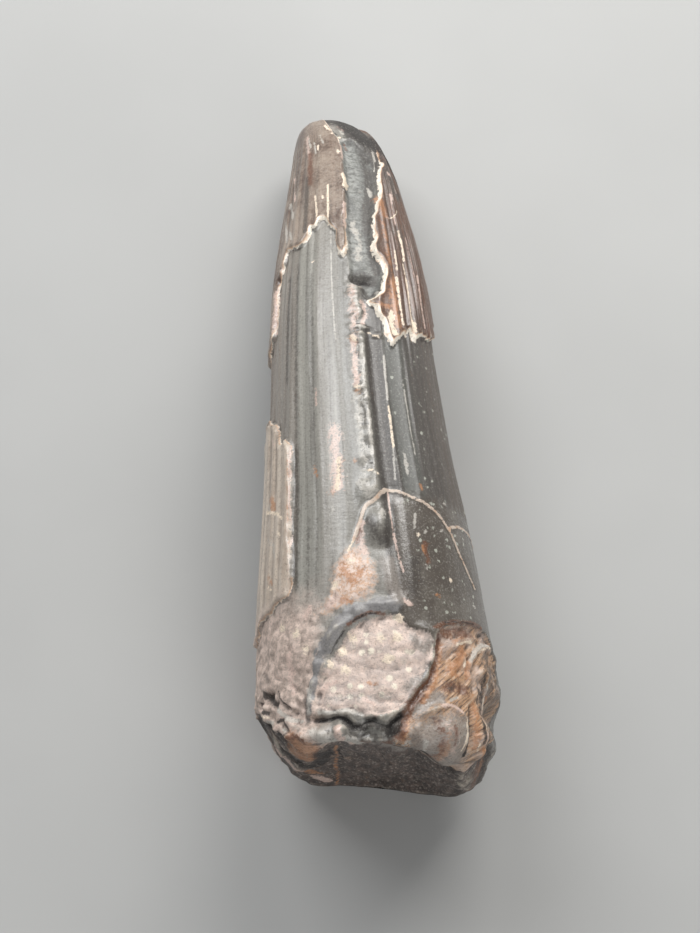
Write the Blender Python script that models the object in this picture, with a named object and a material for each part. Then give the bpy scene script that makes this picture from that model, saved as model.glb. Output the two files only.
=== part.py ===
"""Fossil suchomimus tooth, lying with its outer curve up on two small worn flats.

The tooth is one closed solid. Its plain form is a curved cone of rounded sections, read
smoothly from a short list of stations between the tip and the torn root end. Relief is then
added along the surface's outward direction: flutes, the two cutting edges, plates of enamel
with broken edges, the spalled trough beside the upper cutting edge, a blister, a crack, and
near the root the crest, the granular hollow, the groove, the fibrous wedge and the bulge.

Angles are in degrees round the tooth: 0 faces +X, 90 faces up and 180 faces -X. The tip points
along +Y. A place on the surface is written as (angle, y), with y in millimetres.
"""

import bpy
import numpy as np

# Driving dimensions, in millimetres unless the name says otherwise
MILLIMETRE = 0.001
TIP_Y = 16.05
SECTION_POWER = 2.15
END_LEAN = 0.05
FIRST_ANGLE = -93.0
UPPER_EDGE_ANGLE = 87.0
FLUTES_ROUND = 32
COLUMNS_PER_FLUTE = 3
END_RINGS = 8
ENAMEL_THICKNESS = 0.24
TIP_SMOOTH_FROM = 0.15
TIP_SMOOTH_TO = 1.1

# Distance back from the tip, left x, right x, underside z, top z
STATIONS = np.array([
    (0.0, -2.40, -2.40, 2.60, 2.60),
    (0.4, -3.40, -1.25, 1.35, 3.70),
    (0.9, -3.71, -0.57, 0.66, 4.35),
    (1.7, -3.87, 0.00, 0.12, 4.98),
    (3.0, -3.99, 0.55, -0.14, 5.65),
    (4.8, -4.19, 1.05, 0.02, 6.40),
    (7.3, -4.46, 1.58, 0.42, 7.30),
    (10.3, -4.73, 2.11, 0.75, 8.25),
    (13.8, -4.86, 2.55, 0.85, 9.15),
    (17.8, -4.90, 3.11, 0.68, 9.95),
    (22.3, -5.03, 4.03, 0.25, 10.60),
    (26.3, -5.23, 4.69, -0.22, 10.95),
    (29.3, -5.32, 5.25, -0.36, 11.00),
    (32.8, -5.32, 5.21, -0.30, 10.85),
])

# The torn end seen from above: x, y
END_OUTLINE = np.array([
    (-5.45, -13.6), (-4.85, -14.6), (-3.95, -15.5), (-3.25, -15.7), (-1.65, -15.7),
    (0.55, -16.05), (2.35, -16.35), (4.05, -16.45), (4.75, -15.9), (5.35, -14.9),
])
END_CENTRE = (0.0, 5.3)

# Broken outlines of the enamel that is left, as (angle, y) corners
RIGHT_UPPER_ENAMEL = [
    (20, 15.6), (38, 13.6), (47, 12.3), (54, 11.6), (56, 10.6), (63, 9.8), (68, 9.0), (70, 7.8),
    (73, 7.2), (67, 6.5), (66, 5.8), (69, 5.0), (75, 4.4), (79, 4.0), (73, 3.5), (69, 2.8),
    (65, 2.0), (60, 2.3), (54, 2.7), (45, 2.4), (38, 3.0), (22, 3.1), (5, 4.2), (-14, 5.4),
    (-30, 8.3), (-42, 11.0), (-50, 14.0), (-30, 15.9),
]
LEFT_UPPER_ENAMEL = [
    (97, 15.2), (91, 13.8), (91, 9.2), (96, 8.6), (94, 7.1), (98, 7.0), (100, 8.3), (108, 8.9),
    (116, 8.4), (123, 7.7), (135, 7.4), (147, 7.6), (152, 6.5), (158, 5.5), (158, 3.8),
    (164, 3.0), (178, 2.2), (190, 3.6), (204, 6.4), (214, 9.5), (222, 12.5), (224, 15.2),
    (160, 15.9),
]
LEFT_LOWER_ENAMEL = [
    (136, -2.6), (142, -2.2), (152, -1.2), (168, -0.6), (184, -1.8), (196, -4.0), (205, -7.6),
    (196, -10.2), (172, -10.8), (150, -9.6), (136, -9.2), (134, -7.8),
]
UNDER_ENAMEL = [
    (-66, -1.0), (-48, 1.2), (-31, 0.4), (-22, -3.2), (-26, -7.6), (-41, -9.4), (-60, -7.2),
]
ENAMEL_OUTLINES = (RIGHT_UPPER_ENAMEL, LEFT_UPPER_ENAMEL, LEFT_LOWER_ENAMEL, UNDER_ENAMEL)

# Spalled trough beside the upper cutting edge, with its hooked lower end
TROUGH_OUTLINE = [
    (90, 13.6), (66, 13.4), (60, 12.4), (66, 10.5), (71, 9.0), (73, 7.0), (68, 6.0), (71, 4.9),
    (76, 4.4), (83, 4.5), (84, 5.0), (90, 5.3), (91, 8.0),
]
TROUGH_DEPTH = 0.22
HOOK_PLACE = (82.0, 5.3)

# Crack below the middle of the crown, and its two branches
CRACK_PATHS = (
    [(93, -6.2), (89, -5.5), (83, -4.9), (73, -5.1), (60, -5.5), (49, -6.1), (41, -7.0), (33, -8.0)],
    [(45, -6.35), (30, -6.05), (12, -6.1), (-8, -6.6)],
    [(80, -5.0), (80, -6.4), (79, -8.0)],
)
CRACK_DEPTH = 0.12
CRACK_WIDTH = 0.4

# Root region
CREST_PATH = [(84, -9.9), (91, -9.95), (98, -10.2), (107, -11.1), (113, -12.0), (119, -13.0), (122, -14.4)]
CREST_HEIGHT = 0.28
CREST_WIDTH = 0.8
HOLLOW_OUTLINE = [
    (88, -10.4), (98, -10.9), (107, -11.7), (115, -12.8), (117, -14.1), (102, -14.2),
    (84, -14.1), (76, -13.3), (68, -12.4), (65, -11.2), (76, -10.7),
]
HOLLOW_DEPTH = 0.3
GROOVE_PATH = [(120, -14.7), (110, -14.5), (102, -14.85), (95, -14.6), (88, -15.15), (82, -14.3)]
GROOVE_DEPTH = 0.5
GROOVE_WIDTH = 1.0
WEDGE_STEP_PATH = [(61, -10.9), (64, -12.0), (70, -13.0), (77, -13.8), (82, -14.6), (85, -15.4)]
WEDGE_OUTLINE = [
    (62, -10.9), (50, -10.5), (30, -10.3), (8, -10.9), (-4, -13.0), (-4, -16.6), (86, -16.6),
    (85, -15.4), (77, -13.8), (66, -12.4),
]
WEDGE_DEPTH = 0.2
NOTCH_PLACE = (22.0, -13.6)

# Single swellings: angle, y, reach round the tooth, reach along it, height
SWELLINGS = (
    (87.0, -6.6, 0.55, 0.95, 0.30),
    (88.0, -4.9, 0.6, 0.6, 0.16),
    (98.0, -8.5, 0.8, 1.0, 0.12),
    (62.0, -15.1, 1.0, 1.1, 0.38),
    (113.0, -15.2, 0.5, 0.4, 0.25),
    (105.0, -15.3, 0.45, 0.4, 0.28),
    (93.0, -15.2, 0.4, 0.35, 0.26),
    (128.0, -15.1, 0.6, 0.45, 0.28),
    (141.0, -14.7, 0.6, 0.45, 0.24),
    (39.0, -14.9, 0.6, 0.6, 0.25),
    (34.0, -12.1, 0.8, 0.5, 0.22),
    (40.0, -11.0, 1.2, 0.35, 0.16),
)
# Single pits, with the same five values
PITS = (
    (HOOK_PLACE[0], HOOK_PLACE[1], 0.5, 0.4, 0.30),
    (NOTCH_PLACE[0], NOTCH_PLACE[1], 2.4, 0.9, 0.55),
    (151.0, -13.3, 0.5, 0.35, 0.30),
    (87.0, -15.3, 0.4, 0.35, 0.20),
    (20.0, -15.9, 1.8, 0.5, 0.30),
    (225.0, -14.2, 1.4, 0.8, 0.40),
    (-55.0, -13.6, 1.2, 0.7, 0.40),
)
ROOT_ROUGHNESS = 0.16
ROOT_LUMP_SIZE = 1.3
END_ROUGHNESS = 0.32
RIM_ROUNDING = 0.45


def smooth_step(value, low, high):
    """Rise smoothly from 0 at low to 1 at high."""
    part = np.clip((value - low) / (high - low), 0.0, 1.0)
    return part * part * (3.0 - 2.0 * part)


def curve_through(x, knots, values):
    """Read a smooth curve through the knots, with a parabola's slope at each knot."""
    gaps = np.diff(knots)
    rises = np.diff(values, axis=0) / gaps[:, None]
    slopes = np.empty_like(values)
    weights = gaps[:-1] + gaps[1:]
    slopes[1:-1] = (rises[:-1] * gaps[1:, None] + rises[1:] * gaps[:-1, None]) / weights[:, None]
    slopes[0] = 1.5 * rises[0] - 0.5 * slopes[1]
    slopes[-1] = 1.5 * rises[-1] - 0.5 * slopes[-2]
    index = np.clip(np.searchsorted(knots, x, side="right") - 1, 0, len(knots) - 2)
    gap = gaps[index][..., None]
    t = (x - knots[index])[..., None] / gap
    start = values[index] * (1 + 2 * t) * (1 - t) ** 2 + slopes[index] * gap * t * (1 - t) ** 2
    finish = values[index + 1] * t * t * (3 - 2 * t) + slopes[index + 1] * gap * t * t * (t - 1)
    return start + finish


def section_at(y):
    """Left x, right x, underside z and top z of the plain form at y."""
    back = np.sqrt(np.clip(TIP_Y - y, 0.0, None))
    sides = curve_through(back, np.sqrt(STATIONS[:, 0]), STATIONS[:, 1:])
    return sides[..., 0], sides[..., 1], sides[..., 2], sides[..., 3]


def plain_form(angle, y):
    """Points of the plain form: a rounded section at each y, a little squarer than an ellipse."""
    left, right, under, top = section_at(y)
    across = np.cos(np.radians(angle))
    upward = np.sin(np.radians(angle))
    power = 2.0 / SECTION_POWER
    x = (left + right) / 2 + (right - left) / 2 * np.sign(across) * np.abs(across) ** power
    z = (under + top) / 2 + (top - under) / 2 * np.sign(upward) * np.abs(upward) ** power
    return np.stack([x, y + 0.0 * x, z], axis=-1)


def degree_length(y):
    """Millimetres of surface that one degree spans at y."""
    left, right, under, top = section_at(y)
    return np.radians(1.0) * np.maximum((right - left + top - under) / 4, 0.3)


def path_distance(angle, y, path, closed=False):
    """Shortest distance on the surface, in millimetres, to a path of (angle, y) points."""
    scale = degree_length(y)
    corners = list(path) + [path[0]] if closed else list(path)
    nearest = np.full(np.shape(y), np.inf)
    for (angle_a, y_a), (angle_b, y_b) in zip(corners[:-1], corners[1:]):
        along_u = (angle_b - angle_a) * scale
        along_v = y_b - y_a
        from_u = (angle - angle_a) * scale
        from_v = y - y_a
        share = (from_u * along_u + from_v * along_v) / (along_u ** 2 + along_v ** 2)
        share = np.clip(share, 0.0, 1.0)
        distance = np.hypot(from_u - share * along_u, from_v - share * along_v)
        nearest = np.minimum(nearest, distance)
    return nearest


def depth_inside(angle, y, outline):
    """Distance in from an outline's edge, in millimetres: positive inside, negative outside."""
    inside = np.zeros(np.shape(y), dtype=bool)
    for (angle_a, y_a), (angle_b, y_b) in zip(outline, outline[1:] + outline[:1]):
        crosses = (y_a > y) != (y_b > y)
        safe_rise = y_b - y_a if y_b != y_a else 1.0
        inside ^= crosses & (angle < angle_a + (y - y_a) / safe_rise * (angle_b - angle_a))
    edge = path_distance(angle, y, outline, closed=True)
    return np.where(inside, edge, -edge)


def swelling(angle, y, place):
    """A round-topped rise of height 1 that fades out at its reach."""
    middle_angle, middle_y, reach_round, reach_along, height = place
    away = np.hypot((angle - middle_angle) * degree_length(y) / reach_round, (y - middle_y) / reach_along)
    return height * (1.0 - smooth_step(away, 0.0, 1.45))


def lump_noise(points, size, seed):
    """Smooth noise between -1 and 1 from random values on a lattice of the given size."""
    table = np.random.default_rng(seed).uniform(-1.0, 1.0, 4096)
    scaled = points / size + 100.0
    cell = np.floor(scaled).astype(np.int64)
    part = scaled - cell
    part = part * part * (3.0 - 2.0 * part)
    total = np.zeros(points.shape[:-1])
    for corner in np.ndindex(2, 2, 2):
        at = cell + np.array(corner)
        value = table[(at[..., 0] * 73 + at[..., 1] * 179 + at[..., 2] * 283) % table.size]
        weight = np.prod(np.where(np.array(corner) == 1, part, 1.0 - part), axis=-1)
        total += weight * value
    return total


def flutes(angle, y):
    """Narrow ridges along the crown, one for each flute, fading at the tip and the root."""
    turn = np.radians((angle - FIRST_ANGLE) * FLUTES_ROUND)
    wave = np.cos(turn)
    strength = smooth_step(y, -10.5, -8.0) * smooth_step(TIP_Y - y, 0.8, 3.0)
    on_right = smooth_step(angle, -20.0, 20.0) * smooth_step(-angle, -75.0, -60.0) * smooth_step(y, 1.0, 4.0)
    on_plate = smooth_step(-y, 5.0, 6.0) * smooth_step(-angle, -82.0, -74.0)
    return wave * strength * (0.055 + 0.045 * on_right) * (1.0 - 0.8 * on_plate)


def cutting_edges(angle, y):
    """The worn upper cutting edge below the trough, and the lower one under the tooth."""
    scale = degree_length(y)
    upper = np.exp(-(((angle - UPPER_EDGE_ANGLE) * scale) / 0.24) ** 2)
    upper *= smooth_step(y, -5.4, -4.6) * smooth_step(-y, -5.2, -4.4)
    upper_height = 0.17 + 0.05 * np.sin(y * 2.9) + 0.04 * np.sin(y * 7.3)
    from_under = (angle - FIRST_ANGLE + 180.0) % 360.0 - 180.0
    lower = np.exp(-((from_under * scale) / 0.26) ** 2)
    lower *= smooth_step(y, -8.0, -6.0) * smooth_step(-y, -13.0, -11.5)
    return upper * upper_height + 0.28 * lower


def enamel(angle, y):
    """Thickness of the enamel that is left, with a crumbly edge."""
    crumble = 0.12 * np.sin(angle * 0.9 + 2.0 * y) + 0.1 * np.sin(5.1 * y + 0.35 * angle)
    cover = np.zeros(np.shape(y))
    for outline in ENAMEL_OUTLINES:
        cover = np.maximum(cover, smooth_step(depth_inside(angle, y, outline) + crumble, -0.12, 0.22))
    return ENAMEL_THICKNESS * cover


def spalled_trough(angle, y):
    """The trough where the enamel has flaked off the cutting edge."""
    return -TROUGH_DEPTH * smooth_step(depth_inside(angle, y, TROUGH_OUTLINE), -0.1, 0.3)


def crack(angle, y):
    """The branching crack, a shallow valley at this scale."""
    nearest = np.min([path_distance(angle, y, path) for path in CRACK_PATHS], axis=0)
    return -CRACK_DEPTH * (1.0 - smooth_step(nearest, 0.0, CRACK_WIDTH))


def root_relief(angle, y):
    """Crest, granular hollow, groove, wedge and broken lumps near the root."""
    crest = CREST_HEIGHT * np.exp(-(path_distance(angle, y, CREST_PATH) / (CREST_WIDTH / 2)) ** 2)
    hollow = -HOLLOW_DEPTH * smooth_step(depth_inside(angle, y, HOLLOW_OUTLINE), -0.05, 0.4)
    groove = -GROOVE_DEPTH * np.exp(-(path_distance(angle, y, GROOVE_PATH) / (GROOVE_WIDTH / 2)) ** 2)
    wedge = -WEDGE_DEPTH * smooth_step(depth_inside(angle, y, WEDGE_OUTLINE), -0.1, 0.3)
    step = -0.2 * np.exp(-(path_distance(angle, y, WEDGE_STEP_PATH) / 0.28) ** 2)
    on_wedge = smooth_step(depth_inside(angle, y, WEDGE_OUTLINE), 0.0, 0.5)
    fibres = 0.09 * on_wedge * np.sin((y + 0.055 * angle) * 9.0) * smooth_step(y, -14.4, -13.4)
    return crest + hollow + groove + wedge + step + fibres


def rim_rounding(y, rim_y):
    """How far the surface turns in just before the torn end."""
    near = np.clip(1.0 - (y - rim_y) / RIM_ROUNDING, 0.0, 1.0)
    return -RIM_ROUNDING * (1.0 - np.sqrt(1.0 - (0.95 * near) ** 2))


def relief(angle, y, points, rim_y):
    """All relief together, in millimetres outwards."""
    height = flutes(angle, y) + cutting_edges(angle, y) + enamel(angle, y)
    height += spalled_trough(angle, y) + crack(angle, y) + root_relief(angle, y)
    for place in SWELLINGS:
        height += swelling(angle, y, place)
    for place in PITS:
        height -= swelling(angle, y, place)
    rough = ROOT_ROUGHNESS * smooth_step(-y, 8.0, 13.0)
    height += rough * lump_noise(points, ROOT_LUMP_SIZE, seed=5)
    height += 0.03 * lump_noise(points, 2.4, seed=8)
    height *= smooth_step(TIP_Y - y, TIP_SMOOTH_FROM, TIP_SMOOTH_TO)
    return height + rim_rounding(y, rim_y)


def end_y(x, z):
    """The torn end's y at each place: its outline from above, leaning back with height."""
    x = np.clip(x, END_OUTLINE[0, 0], END_OUTLINE[-1, 0])
    return curve_through(x, END_OUTLINE[:, 0], END_OUTLINE[:, 1:])[..., 0] + END_LEAN * z


def rim_at(angle):
    """The y at which the side meets the torn end, found by stepping to where the two agree."""
    y = np.full(np.shape(angle), -14.5)
    for _ in range(12):
        side = plain_form(angle, y)
        y = 0.5 * y + 0.5 * end_y(side[..., 0], side[..., 2])
    return y


def outward(points):
    """Outward unit directions of a grid whose rows run back from the tip."""
    round_step = np.roll(points, -1, axis=1) - np.roll(points, 1, axis=1)
    back_step = np.gradient(points, axis=0)
    direction = np.cross(round_step, back_step)
    return direction / np.maximum(np.linalg.norm(direction, axis=-1, keepdims=True), 1e-9)


def row_shares():
    """Where the rows lie between tip and rim: close at the tip and the root, wider between."""
    tip_rows = np.array([0.015, 0.035, 0.06, 0.09, 0.12])
    crown_rows = np.linspace(0.15, 0.765, 18)
    root_rows = np.linspace(0.785, 1.0, 19)
    return np.concatenate([tip_rows, crown_rows, root_rows])


def side_grid():
    """Rows of points from the tip to the torn rim, with all relief."""
    columns = FLUTES_ROUND * COLUMNS_PER_FLUTE
    angle = (FIRST_ANGLE + 360.0 / columns * np.arange(columns))[None, :]
    rim_y = rim_at(angle)
    y = TIP_Y - row_shares()[:, None] * (TIP_Y - rim_y)
    angle = angle + 0.0 * y
    plain = plain_form(angle, y)
    return plain + outward(plain) * relief(angle, y, plain, rim_y)[..., None]


def end_rings(rim):
    """Rings that close the torn end, rough as broken stone, shrinking to its middle."""
    centre_x, centre_z = END_CENTRE
    edge_offset = rim[:, 1] - end_y(rim[:, 0], rim[:, 2])
    rings = []
    for share in np.linspace(1.0, 0.0, END_RINGS + 2)[1:-1]:
        x = centre_x + share * (rim[:, 0] - centre_x)
        z = centre_z + share * (rim[:, 2] - centre_z)
        ring = np.stack([x, end_y(x, z), z], axis=-1)
        dish = 0.35 * (1.0 - share ** 2)
        rough = END_ROUGHNESS * lump_noise(ring, 1.6, seed=21) + 0.5 * END_ROUGHNESS * lump_noise(ring, 0.8, seed=22)
        ring[:, 1] += edge_offset * smooth_step(share, 0.5, 1.0) + dish + rough * smooth_step(1.0 - share, 0.0, 0.2)
        rings.append(ring)
    return np.array(rings)


def tooth_points():
    """All rows of the closed surface, with its two end points."""
    side = side_grid()
    rings = end_rings(side[-1])
    tip = np.array([STATIONS[0, 1], TIP_Y, STATIONS[0, 3]])
    middle = rings[-1].mean(axis=0)
    return np.concatenate([side, rings]), tip, middle


def centred(points, tip, middle):
    """Put the worn flats at height 0 and the middle of the box over the origin."""
    rows = points.copy()
    rows[..., 2] = np.maximum(rows[..., 2], 0.0)
    corners = np.concatenate([rows.reshape(-1, 3), [tip, middle]])
    shift = (corners.min(axis=0) + corners.max(axis=0)) / 2
    shift[2] = 0.0
    return rows - shift, tip - shift, middle - shift


def closed_faces(rows, columns, tip_index, middle_index):
    """Quads between rows, and fans to the two end points, all facing out."""
    faces = []
    for column in range(columns):
        following = (column + 1) % columns
        faces.append((tip_index, following, column))
        last = (rows - 1) * columns
        faces.append((middle_index, last + column, last + following))
        for row in range(rows - 1):
            here = row * columns
            below = here + columns
            faces.append((here + column, here + following, below + following, below + column))
    return faces


def stone_material():
    """Dark grey-brown mineralised tooth with a half-polished surface."""
    material = bpy.data.materials.new("mineralised_tooth")
    material.use_nodes = True
    shader = material.node_tree.nodes["Principled BSDF"]
    shader.inputs["Base Color"].default_value = (0.105, 0.083, 0.070, 1.0)
    shader.inputs["Roughness"].default_value = 0.42
    shader.inputs["Metallic"].default_value = 0.0
    return material


def build_tooth():
    """Make the tooth's mesh and object."""
    points, tip, middle = centred(*tooth_points())
    rows, columns = points.shape[:2]
    vertices = np.concatenate([points.reshape(-1, 3), [tip, middle]]) * MILLIMETRE
    faces = closed_faces(rows, columns, rows * columns, rows * columns + 1)
    mesh = bpy.data.meshes.new("tooth")
    mesh.from_pydata(vertices.tolist(), [], faces)
    mesh.materials.append(stone_material())
    mesh.shade_smooth()
    tooth = bpy.data.objects.new("tooth", mesh)
    bpy.context.collection.objects.link(tooth)
    return tooth


def main():
    """Clear the scene and build the one piece."""
    for old in list(bpy.data.objects):
        bpy.data.objects.remove(old)
    build_tooth()


main()
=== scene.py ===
"""Looks of a fossil suchomimus tooth that lies with its outer curve up.

The tooth's surface is one closed grid, worked out from the same stations as the solid that it
replaces. Places on it are written as (angle, y): the angle in degrees round the tooth, with 0
facing +X, 90 facing up and 180 facing -X, and y in millimetres towards the tip. Each region of
the tooth adds its own relief and deposits at such places, some of them painted shade and
highlights. The finish turns the deposits' fields into ragged, crisp-edged colour, with noise
that follows the surface.
"""

import logging
from dataclasses import dataclass, field
from enum import Enum
from functools import cached_property, partial, reduce
from typing import Sequence

import bpy
import numpy as np
from mathutils import Euler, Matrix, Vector


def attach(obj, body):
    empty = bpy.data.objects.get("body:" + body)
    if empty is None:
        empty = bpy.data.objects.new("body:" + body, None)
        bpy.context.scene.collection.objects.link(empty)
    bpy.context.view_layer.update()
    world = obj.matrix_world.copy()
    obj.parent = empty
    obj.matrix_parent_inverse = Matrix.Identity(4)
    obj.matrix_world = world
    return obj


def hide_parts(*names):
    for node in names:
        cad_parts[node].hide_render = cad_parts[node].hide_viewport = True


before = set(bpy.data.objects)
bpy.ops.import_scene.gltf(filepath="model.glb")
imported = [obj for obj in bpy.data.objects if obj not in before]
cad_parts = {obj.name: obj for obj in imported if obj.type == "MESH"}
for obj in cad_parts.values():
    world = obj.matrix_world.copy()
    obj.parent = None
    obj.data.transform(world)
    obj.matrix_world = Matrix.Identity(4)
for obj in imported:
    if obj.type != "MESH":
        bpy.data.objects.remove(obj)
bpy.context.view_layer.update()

LOG = logging.getLogger("tooth")
MILLIMETRE = 0.001
NODE = "tooth"
FULL_TURN = 360.0
RING_RADIUS = 5.0
SEAM_ANGLE = -93.0
FIBRE_TURN = -38.0
DISPLAY_WHITE = 255.0
SENSOR_WIDTH = 36.0
LATTICE_TURN = np.array(Euler((0.6, 0.9, 0.4)).to_matrix())

Array = np.ndarray
Place = tuple[float, float]
Path = tuple[Place, ...]
Triple = tuple[float, float, float]
Colour = tuple[float, float, float]
Socket = bpy.types.NodeSocket
Sockets = dict[str, Socket]
Input = Socket | Sequence[float] | float


class Pigment(Enum):
    """The deposits and the painted shade, each kept on the mesh as a field from 0 to 1."""

    EDGE = "edge"
    CREAM = "cream"
    ORANGE = "orange"
    RUST = "rust"
    PINK = "pink"
    PALE = "pale"
    GREY = "grey"
    SHADE = "shade"
    BLACK = "black"


@dataclass(frozen=True)
class Stroke:
    """One stroke of a deposit, painted shade and highlights included: its path, its half width in
    millimetres and its strength.
    """

    pigment: Pigment
    path: Path
    reach: float
    strength: float = 1.0


@dataclass(frozen=True)
class Swelling:
    """A round-topped rise, or a pit where the height is negative, in millimetres but the angle."""

    angle: float
    y: float
    reach_round: float
    reach_along: float
    height: float


@dataclass(frozen=True)
class Ridge:
    """A narrow rise or valley along a path, with its half width and height in millimetres."""

    path: Path
    reach: float
    height: float


def laid(*items: Pigment | tuple) -> tuple[Stroke, ...]:
    """Strokes of deposits.

    Args:
        items: Each deposit, followed by its strokes. A stroke's row holds its half width, its
            strength and the corners of its path.

    Returns:
        The strokes.
    """
    made = []
    for item in items:
        if isinstance(item, Pigment):
            pigment = item
        else:
            reach, strength, *path = item
            made.append(Stroke(pigment, tuple(path), reach, strength))
    return tuple(made)


def swellings(*rows: tuple[float, ...]) -> tuple[Swelling, ...]:
    """Swellings, each from its angle, y, two reaches and height."""
    return tuple(Swelling(*row) for row in rows)


def smooth_step(value: Array, low: float, high: float) -> Array:
    """Rise smoothly from 0 to 1.

    Args:
        value: Any array.
        low: The value that gives 0.
        high: The value that gives 1.

    Returns:
        Three times the square less twice the cube of the share between low and high.
    """
    part = np.clip((value - low) / (high - low), 0.0, 1.0)
    return part * part * (3.0 - 2.0 * part)


def bell(away: Array, reach: float) -> Array:
    """A bell curve of a distance: 1 at nothing, and about a third at the reach."""
    return np.exp(-(away / reach) ** 2)


def curve_through(x: Array, knots: Array, values: Array) -> Array:
    """Read a smooth curve through knots, with a parabola's slope at each of them.

    Args:
        x: Where to read.
        knots: Rising places of the knots.
        values: One row of values for each knot.

    Returns:
        One row of values for each x, by cubic Hermite pieces.
    """
    gaps = np.diff(knots)
    rises = np.diff(values, axis=0) / gaps[:, None]
    slopes = np.empty_like(values)
    weights = (gaps[:-1] + gaps[1:])[:, None]
    slopes[1:-1] = (rises[:-1] * gaps[1:, None] + rises[1:] * gaps[:-1, None]) / weights
    slopes[0] = 1.5 * rises[0] - 0.5 * slopes[1]
    slopes[-1] = 1.5 * rises[-1] - 0.5 * slopes[-2]
    index = np.clip(np.searchsorted(knots, x, side="right") - 1, 0, len(knots) - 2)
    gap = gaps[index][..., None]
    t = (x - knots[index])[..., None] / gap
    start = values[index] * (1 + 2 * t) * (1 - t) ** 2 + slopes[index] * gap * t * (1 - t) ** 2
    finish = values[index + 1] * t * t * (3 - 2 * t) + slopes[index + 1] * gap * t * t * (t - 1)
    return start + finish


def lump_noise(points: Array, size: float, seed: int) -> Array:
    """Smooth noise from random values on a lattice.

    Args:
        points: Points in millimetres, in the last axis.
        size: The lattice's pitch in millimetres.
        seed: Seed of the random values.

    Returns:
        Values between -1 and 1, blended between the eight corners of each lattice cell. The
        lattice is turned, so that its rows don't follow the tooth.
    """
    table = np.random.default_rng(seed).uniform(-1.0, 1.0, 4096)
    scaled = points @ LATTICE_TURN / size + 100.0
    cell = np.floor(scaled).astype(np.int64)
    part = scaled - cell
    part = part * part * (3.0 - 2.0 * part)
    total = np.zeros(points.shape[:-1])
    for corner in np.ndindex(2, 2, 2):
        at = cell + np.array(corner)
        value = table[(at[..., 0] * 73 + at[..., 1] * 179 + at[..., 2] * 283) % table.size]
        weight = np.prod(np.where(np.array(corner) == 1, part, 1.0 - part), axis=-1)
        total += weight * value
    return total


def pebbles(points: Array, size: float, seed: int) -> Array:
    """Round lumps with creases between them, from 0 in a crease to 1 on a lump."""
    return np.minimum(2.2 * np.abs(lump_noise(points, size, seed)), 1.0)


@dataclass
class ToothForm:
    """The plain form: rounded sections along a bent axis, and the torn end's outline."""

    tip_y: float = 16.05
    section_power: float = 2.15
    end_lean: float = 0.05
    offset: Place = (0.065, 0.23)
    end_centre: Place = (0.0, 5.3)
    rim_start: float = -14.5
    rim_rounds: int = 12
    # Distance back from the tip, left x, right x, underside z, top z
    stations: tuple[tuple[float, ...], ...] = (
        (0, -2.4, -2.4, 2.6, 2.6), (0.4, -3.4, -1.25, 1.35, 3.7), (0.9, -3.71, -0.57, 0.66, 4.35),
        (1.7, -3.87, 0, 0.12, 4.98), (3, -3.99, 0.55, -0.14, 5.65), (4.8, -4.19, 1.05, 0.02, 6.4),
        (7.3, -4.46, 1.58, 0.42, 7.3), (10.3, -4.73, 2.11, 0.75, 8.25),
        (13.8, -4.86, 2.55, 0.85, 9.15), (17.8, -4.9, 3.11, 0.68, 9.95),
        (22.3, -5.03, 4.03, 0.25, 10.6), (26.3, -5.23, 4.69, -0.22, 10.95),
        (29.3, -5.32, 5.25, -0.36, 11), (32.8, -5.32, 5.21, -0.3, 10.85),
    )
    end_outline: Path = (
        (-5.45, -13.6), (-4.85, -14.6), (-3.95, -15.55), (-3.25, -15.9), (-1.65, -15.9),
        (0.55, -16.05), (2.35, -16.35), (4.05, -16.45), (4.75, -15.9), (5.35, -14.9),
    )

    def section_at(self, y: Array) -> tuple[Array, Array, Array, Array]:
        """Left x, right x, underside z and top z of the section at y.

        Args:
            y: Millimetres towards the tip.

        Returns:
            The four, each of the shape of y.
        """
        table = np.array(self.stations)
        back = np.sqrt(np.clip(self.tip_y - y, 0.0, None))
        sides = curve_through(back, np.sqrt(table[:, 0]), table[:, 1:])
        return sides[..., 0], sides[..., 1], sides[..., 2], sides[..., 3]

    def points(self, angle: Array, y: Array) -> Array:
        """Points of the plain form.

        Args:
            angle: Degrees round the tooth.
            y: Millimetres towards the tip.

        Returns:
            Points whose x and z follow a cosine and a sine raised to slightly under 1, which
            makes each section a little squarer than an ellipse.
        """
        left, right, under, top = self.section_at(y)
        across = np.cos(np.radians(angle))
        upward = np.sin(np.radians(angle))
        power = 2.0 / self.section_power
        x = (left + right) / 2 + (right - left) / 2 * np.sign(across) * np.abs(across) ** power
        z = (under + top) / 2 + (top - under) / 2 * np.sign(upward) * np.abs(upward) ** power
        return np.stack([x, y + 0.0 * x, z], axis=-1)

    def degree_length(self, y: Array) -> Array:
        """Millimetres of surface that one degree spans at y."""
        left, right, under, top = self.section_at(y)
        return np.radians(1.0) * np.maximum((right - left + top - under) / 4, 0.3)

    def end_y(self, x: Array, z: Array) -> Array:
        """The torn end's y: its outline from above, leaning back with height.

        Args:
            x: Millimetres towards the right.
            z: Millimetres upwards.

        Returns:
            The y of the end at each place.
        """
        outline = np.array(self.end_outline)
        inside = np.clip(x, outline[0, 0], outline[-1, 0])
        return curve_through(inside, outline[:, 0], outline[:, 1:])[..., 0] + self.end_lean * z

    def rim_y(self, angle: Array) -> Array:
        """The y where the side meets the torn end.

        Args:
            angle: Degrees round the tooth.

        Returns:
            The y for each angle, found by stepping until the side and the end agree.
        """
        y = np.full(np.shape(angle), self.rim_start)
        for _ in range(self.rim_rounds):
            side = self.points(angle, y)
            y = 0.5 * y + 0.5 * self.end_y(side[..., 0], side[..., 2])
        return y

    def placed(self, points: Array) -> Array:
        """Points moved from the form's own millimetres into the frame, in metres."""
        return (points + np.array([*self.offset, 0.0])) * MILLIMETRE


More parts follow.
